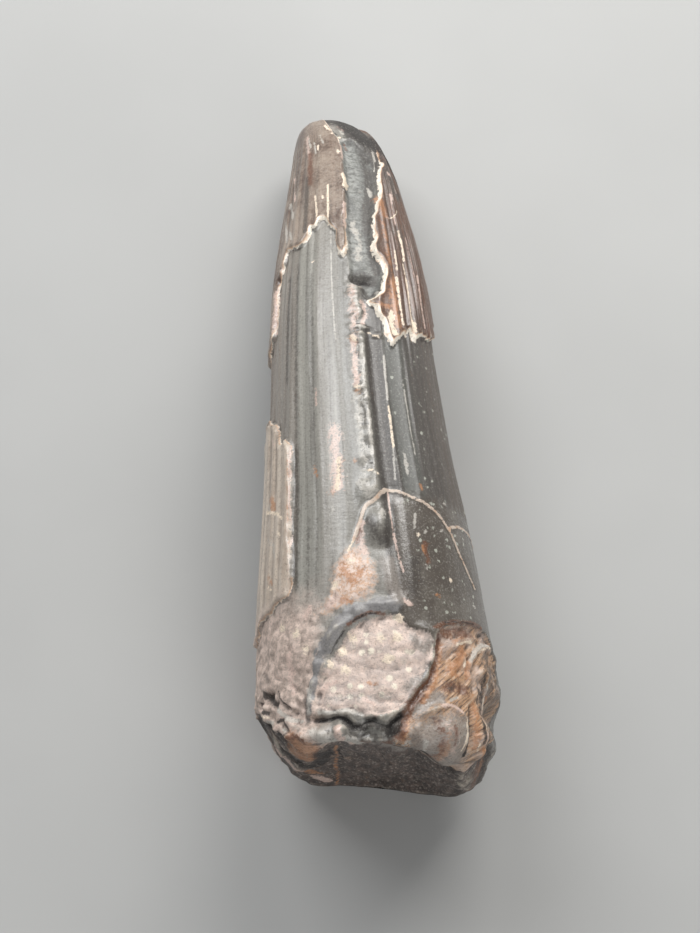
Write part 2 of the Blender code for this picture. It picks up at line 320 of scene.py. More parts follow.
def path_distance(across: Array, along: Array, scale: Array | float, path: Path) -> Array:
    """Shortest distance to a path.

    Args:
        across: First coordinate of each place.
        along: Second coordinate, in millimetres.
        scale: Millimetres in one step of the first coordinate.
        path: Corners, or one place alone.

    Returns:
        The smallest distance to any stretch, in millimetres.
    """
    nearest = np.full(np.shape(along), np.inf)
    for (across_a, along_a), (across_b, along_b) in zip(path, path[1:] or path):
        step_u = (across_b - across_a) * scale
        step_v = along_b - along_a
        from_u = (across - across_a) * scale
        from_v = along - along_a
        length = np.maximum(step_u ** 2 + step_v ** 2, 1e-9)
        share = np.clip((from_u * step_u + from_v * step_v) / length, 0.0, 1.0)
        nearest = np.minimum(nearest, np.hypot(from_u - share * step_u, from_v - share * step_v))
    return nearest


def cone(away: Array, stroke: Stroke) -> Array:
    """A stroke's cover: its strength on the path, falling evenly to nothing at twice its reach."""
    return stroke.strength * np.clip(1.0 - 0.5 * away / stroke.reach, 0.0, 1.0)


@dataclass
class SurfaceSheet:
    """A grid of (angle, y) places, with distances on it in millimetres."""

    form: ToothForm
    angle: Array
    y: Array
    points: Array
    rim_y: Array
    scale: Array = field(init=False)

    def __post_init__(self) -> None:
        """Keep the length of a degree at each place."""
        self.scale = self.form.degree_length(self.y)

    def turned(self, angle: float) -> Array:
        """Millimetres round the tooth from an angle to each place."""
        return (self.angle - angle) * self.scale

    def distance(self, path: Path) -> Array:
        """Shortest distance to a path of (angle, y) corners, in millimetres."""
        return path_distance(self.angle, self.y, self.scale, path)

    def depth(self, outline: Path) -> Array:
        """Distance in from an outline.

        Args:
            outline: Corners as (angle, y).

        Returns:
            Millimetres from the edge, positive inside and negative outside, with inside told
            by counting edge crossings.
        """
        inside = np.zeros(self.y.shape, dtype=bool)
        closed = (*outline, outline[0])
        for (angle_a, y_a), (angle_b, y_b) in zip(closed, closed[1:]):
            crosses = (y_a > self.y) != (y_b > self.y)
            rise = y_b - y_a if y_b != y_a else 1.0
            reached = angle_a + (self.y - y_a) / rise * (angle_b - angle_a)
            inside ^= crosses & (self.angle < reached)
        edge = self.distance(closed)
        return np.where(inside, edge, -edge)

    def swelling(self, bump: Swelling) -> Array:
        """Height of one swelling: it falls smoothly from its middle to its reach.

        Args:
            bump: The swelling.

        Returns:
            The height at each place, in millimetres.
        """
        round_part = self.turned(bump.angle) / bump.reach_round
        along_part = (self.y - bump.y) / bump.reach_along
        return bump.height * (1.0 - smooth_step(np.hypot(round_part, along_part), 0.0, 1.45))

    def ridge(self, ridge: Ridge) -> Array:
        """Height of one ridge: a bell curve of the distance to its path."""
        return ridge.height * bell(self.distance(ridge.path), ridge.reach)

    def fibres(self, turn: float, across: float, along: float, seed: int) -> Array:
        """Noise drawn out along the surface.

        Args:
            turn: Degrees that the fibres turn from the way round towards the tip.
            across: Size of the lumps across the fibres, in millimetres.
            along: Size of the lumps along the fibres, in millimetres.
            seed: Seed of the noise.

        Returns:
            Values between -1 and 1.
        """
        u = self.turned(90.0)
        lengthwise = u * np.cos(np.radians(turn)) + self.y * np.sin(np.radians(turn))
        crosswise = self.y * np.cos(np.radians(turn)) - u * np.sin(np.radians(turn))
        flat = np.stack([lengthwise / along, crosswise / across, 0.0 * u], axis=-1)
        return lump_noise(flat, 1.0, seed)

    def noise(self, size: float, seed: int) -> Array:
        """Noise of the plain form's points."""
        return lump_noise(self.points, size, seed)

    def pebbles(self, size: float, seed: int) -> Array:
        """Pebbles at the plain form's points."""
        return pebbles(self.points, size, seed)


class Region:
    """A part of the tooth that adds relief, fields for the finish and deposits."""

    strokes: tuple[Stroke, ...] = ()

    def relief(self, sheet: SurfaceSheet) -> Array:
        """Millimetres that this region adds to the plain form."""
        return np.zeros(sheet.y.shape)

    def fields(self, sheet: SurfaceSheet) -> dict[str, Array]:
        """Fields that the finish reads for this region."""
        return {}


@dataclass
class Enamel(Region):
    """What is left of the enamel: thin plates with broken, crumbly edges."""

    thickness: float = 0.17
    lip_height: float = 0.03
    lip_place: float = 0.16
    lip_reach: float = 0.14
    right_upper: Path = (
        (20, 15.6), (38, 13.6), (47, 12.35), (52, 12.15), (55.5, 11.5), (57, 10.8), (59, 10.25),
        (63, 9.85), (66, 9.2), (69.5, 8.9), (70.5, 8.2), (70, 7.7), (73.5, 7.2), (72.5, 6.75),
        (68, 6.5), (66, 6.1), (66, 5.7), (68.5, 5.3), (70, 4.7), (74, 4.4), (80.5, 4.2), (79, 3.95),
        (75, 3.85), (74.5, 3.4), (71, 3.15), (69.5, 2.6), (67, 1.95), (64, 2), (62, 2.25),
        (59, 2.4), (56, 2.75), (53, 2.65), (50, 2.95), (47.5, 2.65), (45, 2.45), (42.5, 2.75),
        (38, 2.95), (30, 3), (22, 3.1), (12, 3.5), (5, 4.2), (-4, 4.5), (-14, 5.4), (-22, 6.9),
        (-30, 8.3), (-38, 9.3), (-42, 11), (-50, 14), (-30, 15.9),
    )
    left_upper: Path = (
        (102, 15.2), (99, 14.7), (95, 14.1), (91, 13.8), (90, 12), (90, 10.6), (91, 9.2), (92, 8),
        (91.5, 7), (94, 6.45), (97, 6.8), (98.5, 7.2), (98.5, 8), (103, 8.3), (108, 8.75),
        (112, 8.75), (116, 8.3), (120, 8.4), (123, 7.9), (127, 7.6), (135, 7.5), (141, 7.7),
        (147, 7.6), (150, 7), (153, 6.5), (157, 6.1), (158, 5.4), (157.5, 4.8), (158.5, 4),
        (161, 3.3), (166, 3.1), (173, 2.5), (180, 2.2), (190, 3.6), (197, 4.6), (204, 6.4),
        (209, 7.6), (214, 9.5), (219, 10.6), (222, 12.5), (224, 15.2), (160, 15.9),
    )
    left_lower: Path = (
        (134, -2.6), (138.5, -2.2), (145, -2.3), (152, -1.2), (160, -1), (168, -0.6), (176, -0.9),
        (184, -1.8), (196, -4), (200, -5.6), (205, -7.6), (196, -10.2), (184, -10.3), (172, -10.8),
        (160, -9.9), (150, -9.7), (143, -9.4), (134, -9.3), (132.5, -8.6), (133, -7.4), (134, -6),
    )
    under: Path = (
        (-66, -1), (-58, 0.4), (-48, 1.2), (-40, 0.6), (-31, 0.4), (-24, -1.6), (-22, -3.2),
        (-27, -5.2), (-26, -7.6), (-34, -8.3), (-41, -9.4), (-52, -8.6), (-60, -7.2), (-62, -4),
    )
    strokes = laid(
        # The light broken edge, whose strength is its width as a share of half a millimetre
        Pigment.EDGE, (0.8, 0.28, (49, 12.3), (54, 11.9), (56.5, 11), (59, 10.2)),
        (0.8, 0.22, (61, 10), (65, 9.4), (69, 8.8), (70, 8.2)),
        (0.8, 0.34, (70, 7.6), (73, 7.1), (68, 6.5)),
        (0.8, 0.39, (66, 6), (67, 5.6), (69, 5.1), (70, 4.7)),
        (0.5, 0.17, (73, 4.4), (80, 4.2), (77, 3.9)),
        (0.8, 0.44, (73, 3.4), (70, 3), (67, 2.2), (63, 2.1)),
        (0.6, 0.22, (61, 2.3), (56, 2.7), (50, 2.9)), (0.5, 0.47, (48, 2.8), (45, 2.5), (43, 2.7)),
        (0.6, 0.13, (42, 2.8), (30, 3), (20, 3.1), (5, 4.2), (-14, 5.4)),
        (0.5, 0.19, (102, 15.2), (95, 14.1), (91, 13.8)),
        (0.4, 0.3, (92.5, 6.8), (94, 6.5), (96, 6.6)), (0.4, 0.38, (109, 8.75), (113, 8.7)),
        (0.4, 0.18, (102, 8.1), (107, 8.7)), (0.4, 0.34, (115, 8.4), (118, 8.35)),
        (0.4, 0.17, (120, 8.3), (124, 7.8)), (0.6, 0.14, (126, 7.6), (135, 7.5), (147, 7.6)),
        (0.8, 0.14, (147, 7.6), (153, 6.5), (158, 5.4)),
        (0.8, 0.12, (158, 5), (158, 4), (162, 3.2), (170, 2.7)),
        (0.5, 0.12, (138, -2.3), (145, -2.3), (160, -1), (176, -0.9)),
        (0.6, 0.11, (136, -9.3), (160, -9.9), (184, -10.3)),
        Pigment.PINK,
        (0.028, 0.8, (134.2, -2.5), (134.6, -4.2), (134.2, -6), (133.2, -7.4), (133.2, -9)),
        Pigment.ORANGE, (0.035, 0.6, (135, -2.8), (135.6, -4.2), (135.2, -6), (134.2, -7.4)),
        # Orange and white on the right plate
        Pigment.ORANGE, (0.16, 0.6, (61.5, 8.6), (60.5, 7), (60, 5.5)),
        (0.28, 0.75, (60.5, 5.2), (61.5, 3.9), (61, 2.9)), (0.14, 0.9, (72, 3.95), (66, 3.9)),
        (0.16, 0.9, (62, 10.1), (59.5, 9.6), (59, 9)),
        Pigment.CREAM, (0.14, 0.95, (65, 3.6), (65.5, 3), (63.5, 2.5)),
        (0.12, 0.9, (47.5, 3.5), (46, 3)), (0.05, 0.9, (57, 5.6), (57, 4.2), (56.5, 3)),
        (0.05, 0.9, (55.5, 7), (56, 5.9)), (0.055, 0.9, (48, 6.5), (47.5, 5), (48, 3.6)),
        (0.05, 0.9, (46, 8.4), (45.5, 7.4), (46.5, 6.7)),
        (0.035, 0.85, (55, 8.95), (50, 9.1), (45, 9.4), (41, 9.7)),
        Pigment.PALE, (0.045, 0.8, (57, 11.9), (54, 12.5), (50, 13)),
        (0.14, 0.7, (51, 12.8), (48, 13.4)),
        Pigment.PINK, (0.06, 0.85, (46, 10.6), (47.5, 9.8), (47, 8.8)),
        (0.06, 0.85, (43, 11.8), (43.5, 10.6), (43, 9.9)),
        (0.05, 0.85, (38, 8.2), (38, 6.4), (37, 4.6)),
        (0.05, 0.85, (33, 6.2), (33.5, 4.6), (33, 3.4)), (0.05, 0.8, (36, 9.8), (36, 8.8)),
        (0.05, 0.8, (40, 12.1), (36, 11.7), (33, 11)),
        # Lines and flecks on the left plate
        Pigment.CREAM, (0.05, 1, (104.8, 10.7), (104.6, 9.6), (104.6, 8.4)),
        (0.055, 1, (117, 10.2), (115.5, 9.6), (114, 8.9)), (0.05, 0.9, (109.5, 10.1), (109.5, 9.9)),
        (0.1, 0.9, (91, 11.3), (89.5, 10.9), (90.5, 10.6)), (0.06, 0.9, (92.5, 12.72), (91, 12.66)),
        (0.07, 0.9, (115.2, 13.35), (115, 13.1)), (0.06, 0.9, (94.2, 12.8), (93.4, 12.6)),
        (0.09, 0.85, (104, 14.6), (101, 14.35), (98.5, 14.3)),
        (0.06, 0.95, (97, 14), (92, 13.88), (89, 13.9)), (0.05, 0.9, (118.5, 6.48), (116, 6.55)),
        Pigment.PINK, (0.14, 0.75, (131, 14.2), (128, 13.2), (125, 12.6)),
        (0.08, 0.85, (150, 12), (146, 11.2), (142, 10.4)),
        (0.16, 0.8, (159, 5.6), (158, 4.6), (159.5, 3.6)),
        Pigment.PALE, (0.07, 0.85, (128, 14), (125, 13.4)), (0.06, 0.8, (120, 13.6), (118, 12.9)),
        (0.06, 0.75, (112, 14), (108, 13.4)), (0.13, 0.8, (151, 10.4), (146, 9.9), (143, 9.4)),
        (0.1, 0.8, (157, 9.6), (152, 9), (149, 8.2)), (0.08, 0.8, (145, 8.6), (141, 8.1)),
        Pigment.RUST, (0.16, 0.85, (125, 12.9), (123.5, 11.8), (123, 11)),
        Pigment.SHADE, (0.14, 0.9, (126.5, 11.4), (126, 10), (125, 8.2)),
        # The lower left plate
        Pigment.CREAM, (0.07, 1, (160, -5.1), (152, -5.3), (145, -5.5), (140, -5.8)),
        (0.06, 0.8, (144, -6.3), (142, -6.5)), (0.06, 0.8, (152, -8.6), (148, -8.8)),
        Pigment.ORANGE, (0.18, 0.8, (156, -4.6), (152, -4.7), (150, -5.2)),
        (0.12, 0.6, (153, -8.1), (148, -8.5)),
        Pigment.PALE, (0.12, 0.7, (156, -6.4), (149, -6.8), (146, -7.4)),
        (0.08, 0.8, (149, -1), (146, -1.3)), (0.07, 0.8, (150, 0.3), (147, -0.1)),
        Pigment.PINK, (0.14, 0.75, (156, -1.8), (152, -2.2)),
    )

    def depth(self, sheet: SurfaceSheet) -> Array:
        """Distance in from the nearest enamel edge, in millimetres, positive on enamel."""
        outlines = (self.right_upper, self.left_upper, self.left_lower, self.under)
        return np.max([sheet.depth(outline) for outline in outlines], axis=0)

    def relief(self, sheet: SurfaceSheet) -> Array:
        """A step at the crumbly edge, and a slight lip just inside it.

        Args:
            sheet: The side's places.

        Returns:
            Millimetres added to the plain form.
        """
        crumble = 0.08 * sheet.noise(0.5, 31) + 0.05 * sheet.noise(0.22, 32)
        edge = self.depth(sheet) + crumble
        lip = self.lip_height * bell(edge - self.lip_place, self.lip_reach)
        return self.thickness * smooth_step(edge, -0.05, 0.08) + lip

    def fields(self, sheet: SurfaceSheet) -> dict[str, Array]:
        """How far in from the enamel's edge each place is."""
        return {"enamel": self.depth(sheet)}


@dataclass
class Flutes(Region):
    """Fine lines and broad shallow flutes along the crown."""

    # Angle, height and half width, in millimetres, on the half that faces up
    lines: tuple[Triple, ...] = (
        (7, 0.07, 0.12), (14, 0.07, 0.12), (20.5, 0.075, 0.12), (26.6, 0.08, 0.11),
        (32.5, 0.08, 0.1), (38.3, 0.08, 0.1), (44.2, 0.08, 0.1), (50, 0.075, 0.1),
        (55.6, 0.075, 0.1), (61, 0.06, 0.1), (72.8, 0.07, 0.12), (94, 0.015, 0.14),
        (101, 0.02, 0.12), (113.5, 0.02, 0.16), (129, 0.03, 0.14), (137, 0.04, 0.16),
        (145, 0.04, 0.14), (153, 0.05, 0.14), (162, 0.05, 0.14), (171, 0.05, 0.14),
        (180, 0.05, 0.14), (3.6, -0.06, 0.13), (10.5, -0.06, 0.13), (17.3, -0.06, 0.12),
        (23.6, -0.06, 0.12), (29.6, -0.06, 0.11), (35.4, -0.06, 0.11), (41.2, -0.06, 0.11),
        (47.1, -0.06, 0.11), (52.8, -0.06, 0.11), (58.3, -0.05, 0.1), (97.5, -0.015, 0.16),
        (117.5, -0.035, 0.16), (132, -0.035, 0.2), (141, -0.03, 0.18), (149, -0.05, 0.16),
        (157.5, -0.05, 0.16), (166.5, -0.05, 0.16),
    )
    broad: tuple[Triple, ...] = (
        (78.5, -0.13, 0.34), (66, -0.05, 0.4), (57, 0.03, 0.4), (49, -0.03, 0.4), (104, 0.05, 0.7),
        (124, -0.04, 0.5), (138, 0.03, 0.4), (150, -0.03, 0.45),
    )
    hidden_pitch: float = 8.4
    usual_height: float = 0.06
    strokes = laid(
        Pigment.PALE, (0.055, 0.9, (72.3, 1.4), (72.6, 0.2), (73, -0.8)),
        (0.045, 0.85, (73.8, -3), (75, -4.5)), (0.05, 0.8, (60.6, 0.4), (60, -1.2), (60, -3.2)),
        (0.1, 0.7, (67, -3.2), (67, -4.2)), (0.04, 0.85, (103, 8.1), (102.5, 5), (101, 2.2)),
        (0.07, 0.8, (108, -5.7), (107.5, -5.9)),
        Pigment.CREAM, (0.055, 0.9, (73, -1), (73, -1.9), (73.6, -3)),
        (0.12, 0.8, (103, -3.5), (103.5, -4.2), (105, -4.9)),
        Pigment.ORANGE, (0.08, 0.85, (60.5, -4.6), (59.5, -4.8)),
        (0.1, 0.75, (118, -3.8), (116.5, -4.2)), (0.2, 0.7, (102, -3.6), (104, -4.4), (107, -5)),
        Pigment.PINK, (0.12, 0.7, (116, -0.1), (115.5, -0.9)),
        Pigment.SHADE, (0.15, 0.6, (131.5, 6.5), (131.5, 2), (131.5, -2.6)),
        (0.2, 0.7, (131.5, -2.8), (131, -6), (130, -9)),
        (0.12, 0.55, (117.8, 5.8), (117.5, 1), (117.5, -2)), (0.16, 0.5, (123, -6), (122.5, -9.4)),
        (0.12, 0.5, (117.5, -6), (117.5, -9)), (0.12, 0.75, (141, 6), (141, 0.5)),
        (0.14, 0.85, (77, -1.6), (77.5, -3), (77, -4.6)),
        (0.05, 0.9, (74.5, -2.4), (75.2, -3.6), (76, -4.8)),
    )

    def wave(self, sheet: SurfaceSheet) -> Array:
        """The fine lines.

        Args:
            sheet: The places to work out.

        Returns:
            The sum of a bell curve for each line, with wavy strength along it. On the half
            that faces down, the lines follow an even pitch with a seeded wobble.
        """
        seeds = np.random.default_rng(11)
        listed = list(self.lines)
        hidden = np.concatenate([
            np.arange(-88.0, 4.0, self.hidden_pitch), np.arange(188.0, 266.0, self.hidden_pitch),
        ])
        for angle in hidden + seeds.uniform(-1.2, 1.2, len(hidden)):
            listed.append((angle, 0.055, 0.15))
            listed.append((angle + self.hidden_pitch / 2, -0.05, 0.17))
        wave = np.zeros(sheet.y.shape)
        for angle, height, reach in listed:
            phase = seeds.uniform(0.0, 6.28)
            drift = 0.6 * np.sin(0.35 * sheet.y + phase)
            away = (sheet.angle - angle - drift) * sheet.scale
            strength = 0.8 + 0.35 * np.sin(0.9 * sheet.y + 2.0 * phase)
            wave += height * strength * bell(away, reach)
        return wave

    def presence(self, sheet: SurfaceSheet) -> Array:
        """Where flutes show: on the crown, but not on the smooth plate nor in the trough.

        Args:
            sheet: The side's places.

        Returns:
            From 0, where the flutes are gone, to 1.
        """
        along = smooth_step(sheet.y, -10.6, -8.6)
        along *= smooth_step(sheet.form.tip_y - sheet.y, 0.8, 3.0)
        on_plate = smooth_step(-sheet.y, 4.9, 5.6) * smooth_step(-sheet.angle, -82.0, -76.0)
        on_plate *= smooth_step(sheet.angle, -12.0, 4.0)
        in_trough = smooth_step(Trough().depth(sheet), -0.1, 0.3)
        bare = smooth_step(-sheet.y, -3.2, -2.2) * smooth_step(-sheet.angle, -70.0, -62.0)
        return along * (1.0 - 0.85 * on_plate) * (1.0 - 0.9 * in_trough) * (1.0 - 0.5 * bare)

    def relief(self, sheet: SurfaceSheet) -> Array:
        """Fine lines and broad flutes, where they show.

        Args:
            sheet: The side's places.

        Returns:
            Millimetres added to the plain form.
        """
        broad = np.zeros(sheet.y.shape)
        for angle, height, reach in self.broad:
            broad += height * bell(sheet.turned(angle), reach)
        below_trough = smooth_step(-sheet.y, -3.4, -1.0)
        return self.presence(sheet) * (self.wave(sheet) + broad * below_trough)

    def fields(self, sheet: SurfaceSheet) -> dict[str, Array]:
        """The fine lines' height, as a share of the usual one."""
        return {"flute": self.presence(sheet) * self.wave(sheet) / self.usual_height}


@dataclass
class Trough(Region):
    """The spalled upper cutting edge: a shallow matte trough that ends in a hooked pocket."""

    sunk: float = 0.2
    wrinkle_height: float = 0.036
    outline: Path = (
        (90, 13.7), (76, 13.8), (62, 13.3), (56, 12.9), (58, 12.1), (60.5, 11.2), (63, 10.4),
        (67, 9.7), (70.5, 9), (72, 8), (74.5, 7.1), (70, 6.6), (67.5, 6.2), (67.5, 5.6), (70.5, 5),
        (73, 4.6), (78, 4.35), (82, 4.4), (84, 4.7), (83.5, 5), (88, 5.1), (90.5, 5.35),
        (90.5, 6.6), (91, 8), (90, 11),
    )
    pocket: tuple[Swelling, ...] = swellings(
        (82.5, 5.35, 0.55, 0.3, -0.28), (77, 4.8, 0.35, 0.45, -0.14),
    )
    left_border: Ridge = Ridge(
        ((90, 13.4), (90, 11.2), (90.5, 9.2), (91, 7.0), (90.5, 5.5)), 0.10, 0.05,
    )
    strokes = laid(
        # Painted shade: black along the tip's upper right edge and over the enamel beside it, where
        # the tip turns away from the light
        Pigment.BLACK, (0.6, 1, (97, 15.75), (84, 15.5), (72, 15.15), (62, 14.6), (54, 14.1)),
        (0.4, 0.9, (80, 14.8), (70, 14.5), (60, 13.9)),
        (0.55, 1, (62, 15.1), (50, 14.7), (38, 14.1), (26, 13.3), (16, 12.6)),
        (0.06, 0.8, (95, 14.35), (91.5, 14.1)), (0.07, 0.8, (91, 10.35), (89.5, 10.3)),
        # Painted shade in the hooked pocket
        (0.12, 0.75, (90, 5.32), (86, 5.35), (80, 5.45), (76.5, 5.3)),
        # Painted shade at the tip's upper right edge, then a painted shadow along the trough's
        # right side
        Pigment.SHADE, (0.5, 1, (56, 13.4), (48, 12.9), (40, 12), (35, 11)),
        (0.4, 0.9, (68, 14.3), (62, 13.6), (60, 12.8)),
        (0.26, 1, (63, 12), (66, 10.9), (70, 9.9), (73, 8.9), (74, 8.2)),
        (0.24, 0.9, (73, 7.6), (72, 6.6), (70, 5.9)), (0.12, 0.8, (68, 12.6), (64, 12.2)),
        # Painted shade in the hooked pocket
        (0.26, 1, (88, 5.5), (80, 5.6), (74, 5.4)), (0.16, 0.9, (82, 4.9), (79, 4.6)),
        Pigment.GREY, (0.2, 0.85, (97, 15.1), (93, 14.6)),
        Pigment.PINK, (0.1, 0.9, (87, 14.8), (82, 14.5)),
        (0.08, 0.85, (91, 9.6), (91.5, 8.8), (92, 8.2)), (0.06, 0.85, (90.5, 13.3), (90.5, 12.4)),
        Pigment.PALE, (0.1, 0.8, (86, 14.5), (84, 14.2)), (0.1, 0.9, (66.5, 10.9), (65.5, 10.4)),
        (0.22, 0.65, (86, 8.6), (83, 7.6), (84, 6.6)), (0.06, 0.9, (72.5, 4.72), (72, 4.65)),
        Pigment.RUST, (0.08, 0.8, (85.5, 13.6), (84, 13.3)),
    )

    def depth(self, sheet: SurfaceSheet) -> Array:
        """Distance in from the trough's edge, in millimetres."""
        return sheet.depth(self.outline)

    def relief(self, sheet: SurfaceSheet) -> Array:
        """The sunk floor with granular cross wrinkles, its beaded left border and the pocket.

        Args:
            sheet: The side's places.

        Returns:
            Millimetres added to the plain form.
        """
        inside = smooth_step(self.depth(sheet) + 0.05 * sheet.noise(0.3, 42), -0.06, 0.16)
        wrinkles = sheet.fibres(3.0, 0.17, 0.42, 41) + 0.5 * sheet.fibres(-8.0, 0.1, 0.2, 43)
        beads = 0.7 + 0.6 * sheet.fibres(90.0, 0.5, 0.22, 44)
        height = -self.sunk * inside + self.wrinkle_height * inside * wrinkles
        height += sheet.ridge(self.left_border) * beads
        for bump in self.pocket:
            height += sheet.swelling(bump)
        return height

    def fields(self, sheet: SurfaceSheet) -> dict[str, Array]:
        """How far in the trough each place is."""
        return {"trough": self.depth(sheet)}


@dataclass
class CuttingEdges(Region):
    """The worn upper cutting edge with its beads, and the whole one underneath."""

    upper_angle: float = 85.8
    lower_angle: float = SEAM_ANGLE
    crust_angle: float = 88.2
    upper_reach: float = 0.17
    lower_reach: float = 0.22
    crust_reach: float = 0.30
    bead_pitch: float = 0.35
    bead_height: float = 0.12
    knobs: tuple[Swelling, ...] = swellings(
        (89.5, 2.2, 0.22, 0.28, 0.15), (86, 2.3, 0.24, 0.2, 0.12), (89.5, -0.25, 0.22, 0.22, 0.14),
        (87.5, 3.6, 0.28, 0.5, 0.12), (88, 4.5, 0.25, 0.4, 0.1), (89, 2.75, 0.3, 0.16, 0.16),
        (83, 2.7, 0.35, 0.12, 0.12), (76, 2.45, 0.35, 0.12, 0.1), (89, -4.3, 0.25, 0.2, 0.14),
        (85, -4.35, 0.18, 0.18, 0.1), (91.5, -3.6, 0.2, 0.25, 0.08), (88, -5, 0.55, 0.6, 0.2),
        (87.5, -3.75, 0.14, 0.16, -0.12), (86, -1, 0.14, 0.12, -0.1),
    )
    strokes = laid(
        Pigment.PALE, (0.16, 0.85, (89, 5), (88.5, 4.2), (87, 3.4)),
        (0.2, 0.6, (89.6, 1.2), (90, -0.4), (90.5, -2.2), (90, -4.4)),
        (0.1, 0.95, (91, 2.85), (88, 2.75), (84, 2.75)),
        (0.09, 0.9, (86.5, 2.1), (86.3, 0.5), (86, -0.7)),
        (0.085, 0.85, (85.5, -1.3), (85.5, -2.4), (86, -3.4)),
        (0.2, 0.85, (92.5, -4.6), (89.5, -5.2), (88.5, -5)),
        Pigment.PINK, (0.2, 0.58, (90, 4.9), (89.5, 3.4), (90, 1.8)),
        (0.34, 0.72, (104.5, -2.2), (104, -3.4), (105, -4.8)),
        (0.14, 0.7, (85, 4.2), (82, 3.6), (84, 3)),
        (0.14, 0.75, (90.5, 1.6), (90, 0.3), (90, -0.2)),
        Pigment.CREAM, (0.055, 0.9, (82, 2.55), (78, 2.4), (74.5, 2.35)),
        (0.08, 0.9, (91, 2.25), (89.5, 2.05)), (0.09, 0.9, (90.5, -0.25), (89.3, -0.35)),
        (0.055, 0.9, (90, -4.22), (87.5, -4.12), (84.5, -4.3)),
        Pigment.SHADE, (0.06, 0.9, (88, 2.55), (82, 2.5)),
        (0.16, 0.85, (80, 3.6), (76, 3.4), (73, 2.9)),
        (0.09, 0.95, (83.2, 2.2), (82.4, 0.5), (82.4, -1)),
        (0.34, 0.7, (79, 1.9), (79, 0), (78.5, -1.6)),
        Pigment.ORANGE, (0.1, 0.85, (91.5, 2.2), (90, 1.9)), (0.09, 0.85, (91, -0.4), (89, -0.5)),
        (0.08, 0.85, (95, -3.6), (94, -3.7)),
        # Painted shade in the notch and in the small hole, both sunk by the knobs' pits
        Pigment.BLACK, (0.05, 0.8, (86.8, -0.95), (85.8, -1.05)),
        (0.08, 0.75, (88.4, -3.75), (86.8, -3.8)),
    )

    def relief(self, sheet: SurfaceSheet) -> Array:
        """Two narrow bell-shaped ridges, with beads at an even pitch on the upper one.

        Args:
            sheet: The side's places.

        Returns:
            Millimetres added to the plain form.
        """
        upper = bell(sheet.turned(self.upper_angle), self.upper_reach)
        upper *= smooth_step(sheet.y, -5.4, -4.6) * smooth_step(-sheet.y, -3.2, -2.4)
        worn = 0.6 + 0.5 * sheet.fibres(90.0, 1.0, 0.9, 12)
        turn = 2.0 * np.pi * sheet.y / self.bead_pitch
        beads = 0.5 + 0.5 * np.cos(turn + 2.0 * sheet.noise(1.2, 13))
        height = upper * (0.08 + self.bead_height * worn * beads)
        crust = bell(sheet.turned(self.crust_angle), self.crust_reach)
        crust *= smooth_step(sheet.y, -5.8, -5.0) * smooth_step(-sheet.y, -5.4, -4.6)
        height += crust * (0.12 * sheet.pebbles(0.42, 16) + 0.07 * sheet.pebbles(0.22, 17) - 0.04)
        half_turn = FULL_TURN / 2
        from_under = (sheet.angle - self.lower_angle + half_turn) % FULL_TURN - half_turn
        lower = bell(from_under * sheet.scale, self.lower_reach)
        lower *= smooth_step(sheet.y, -8.0, -6.0) * smooth_step(-sheet.y, -13.0, -11.5)
        height += lower * (0.2 + 0.07 * np.cos(turn))
        for bump in self.knobs:
            height += sheet.swelling(bump)
        return height


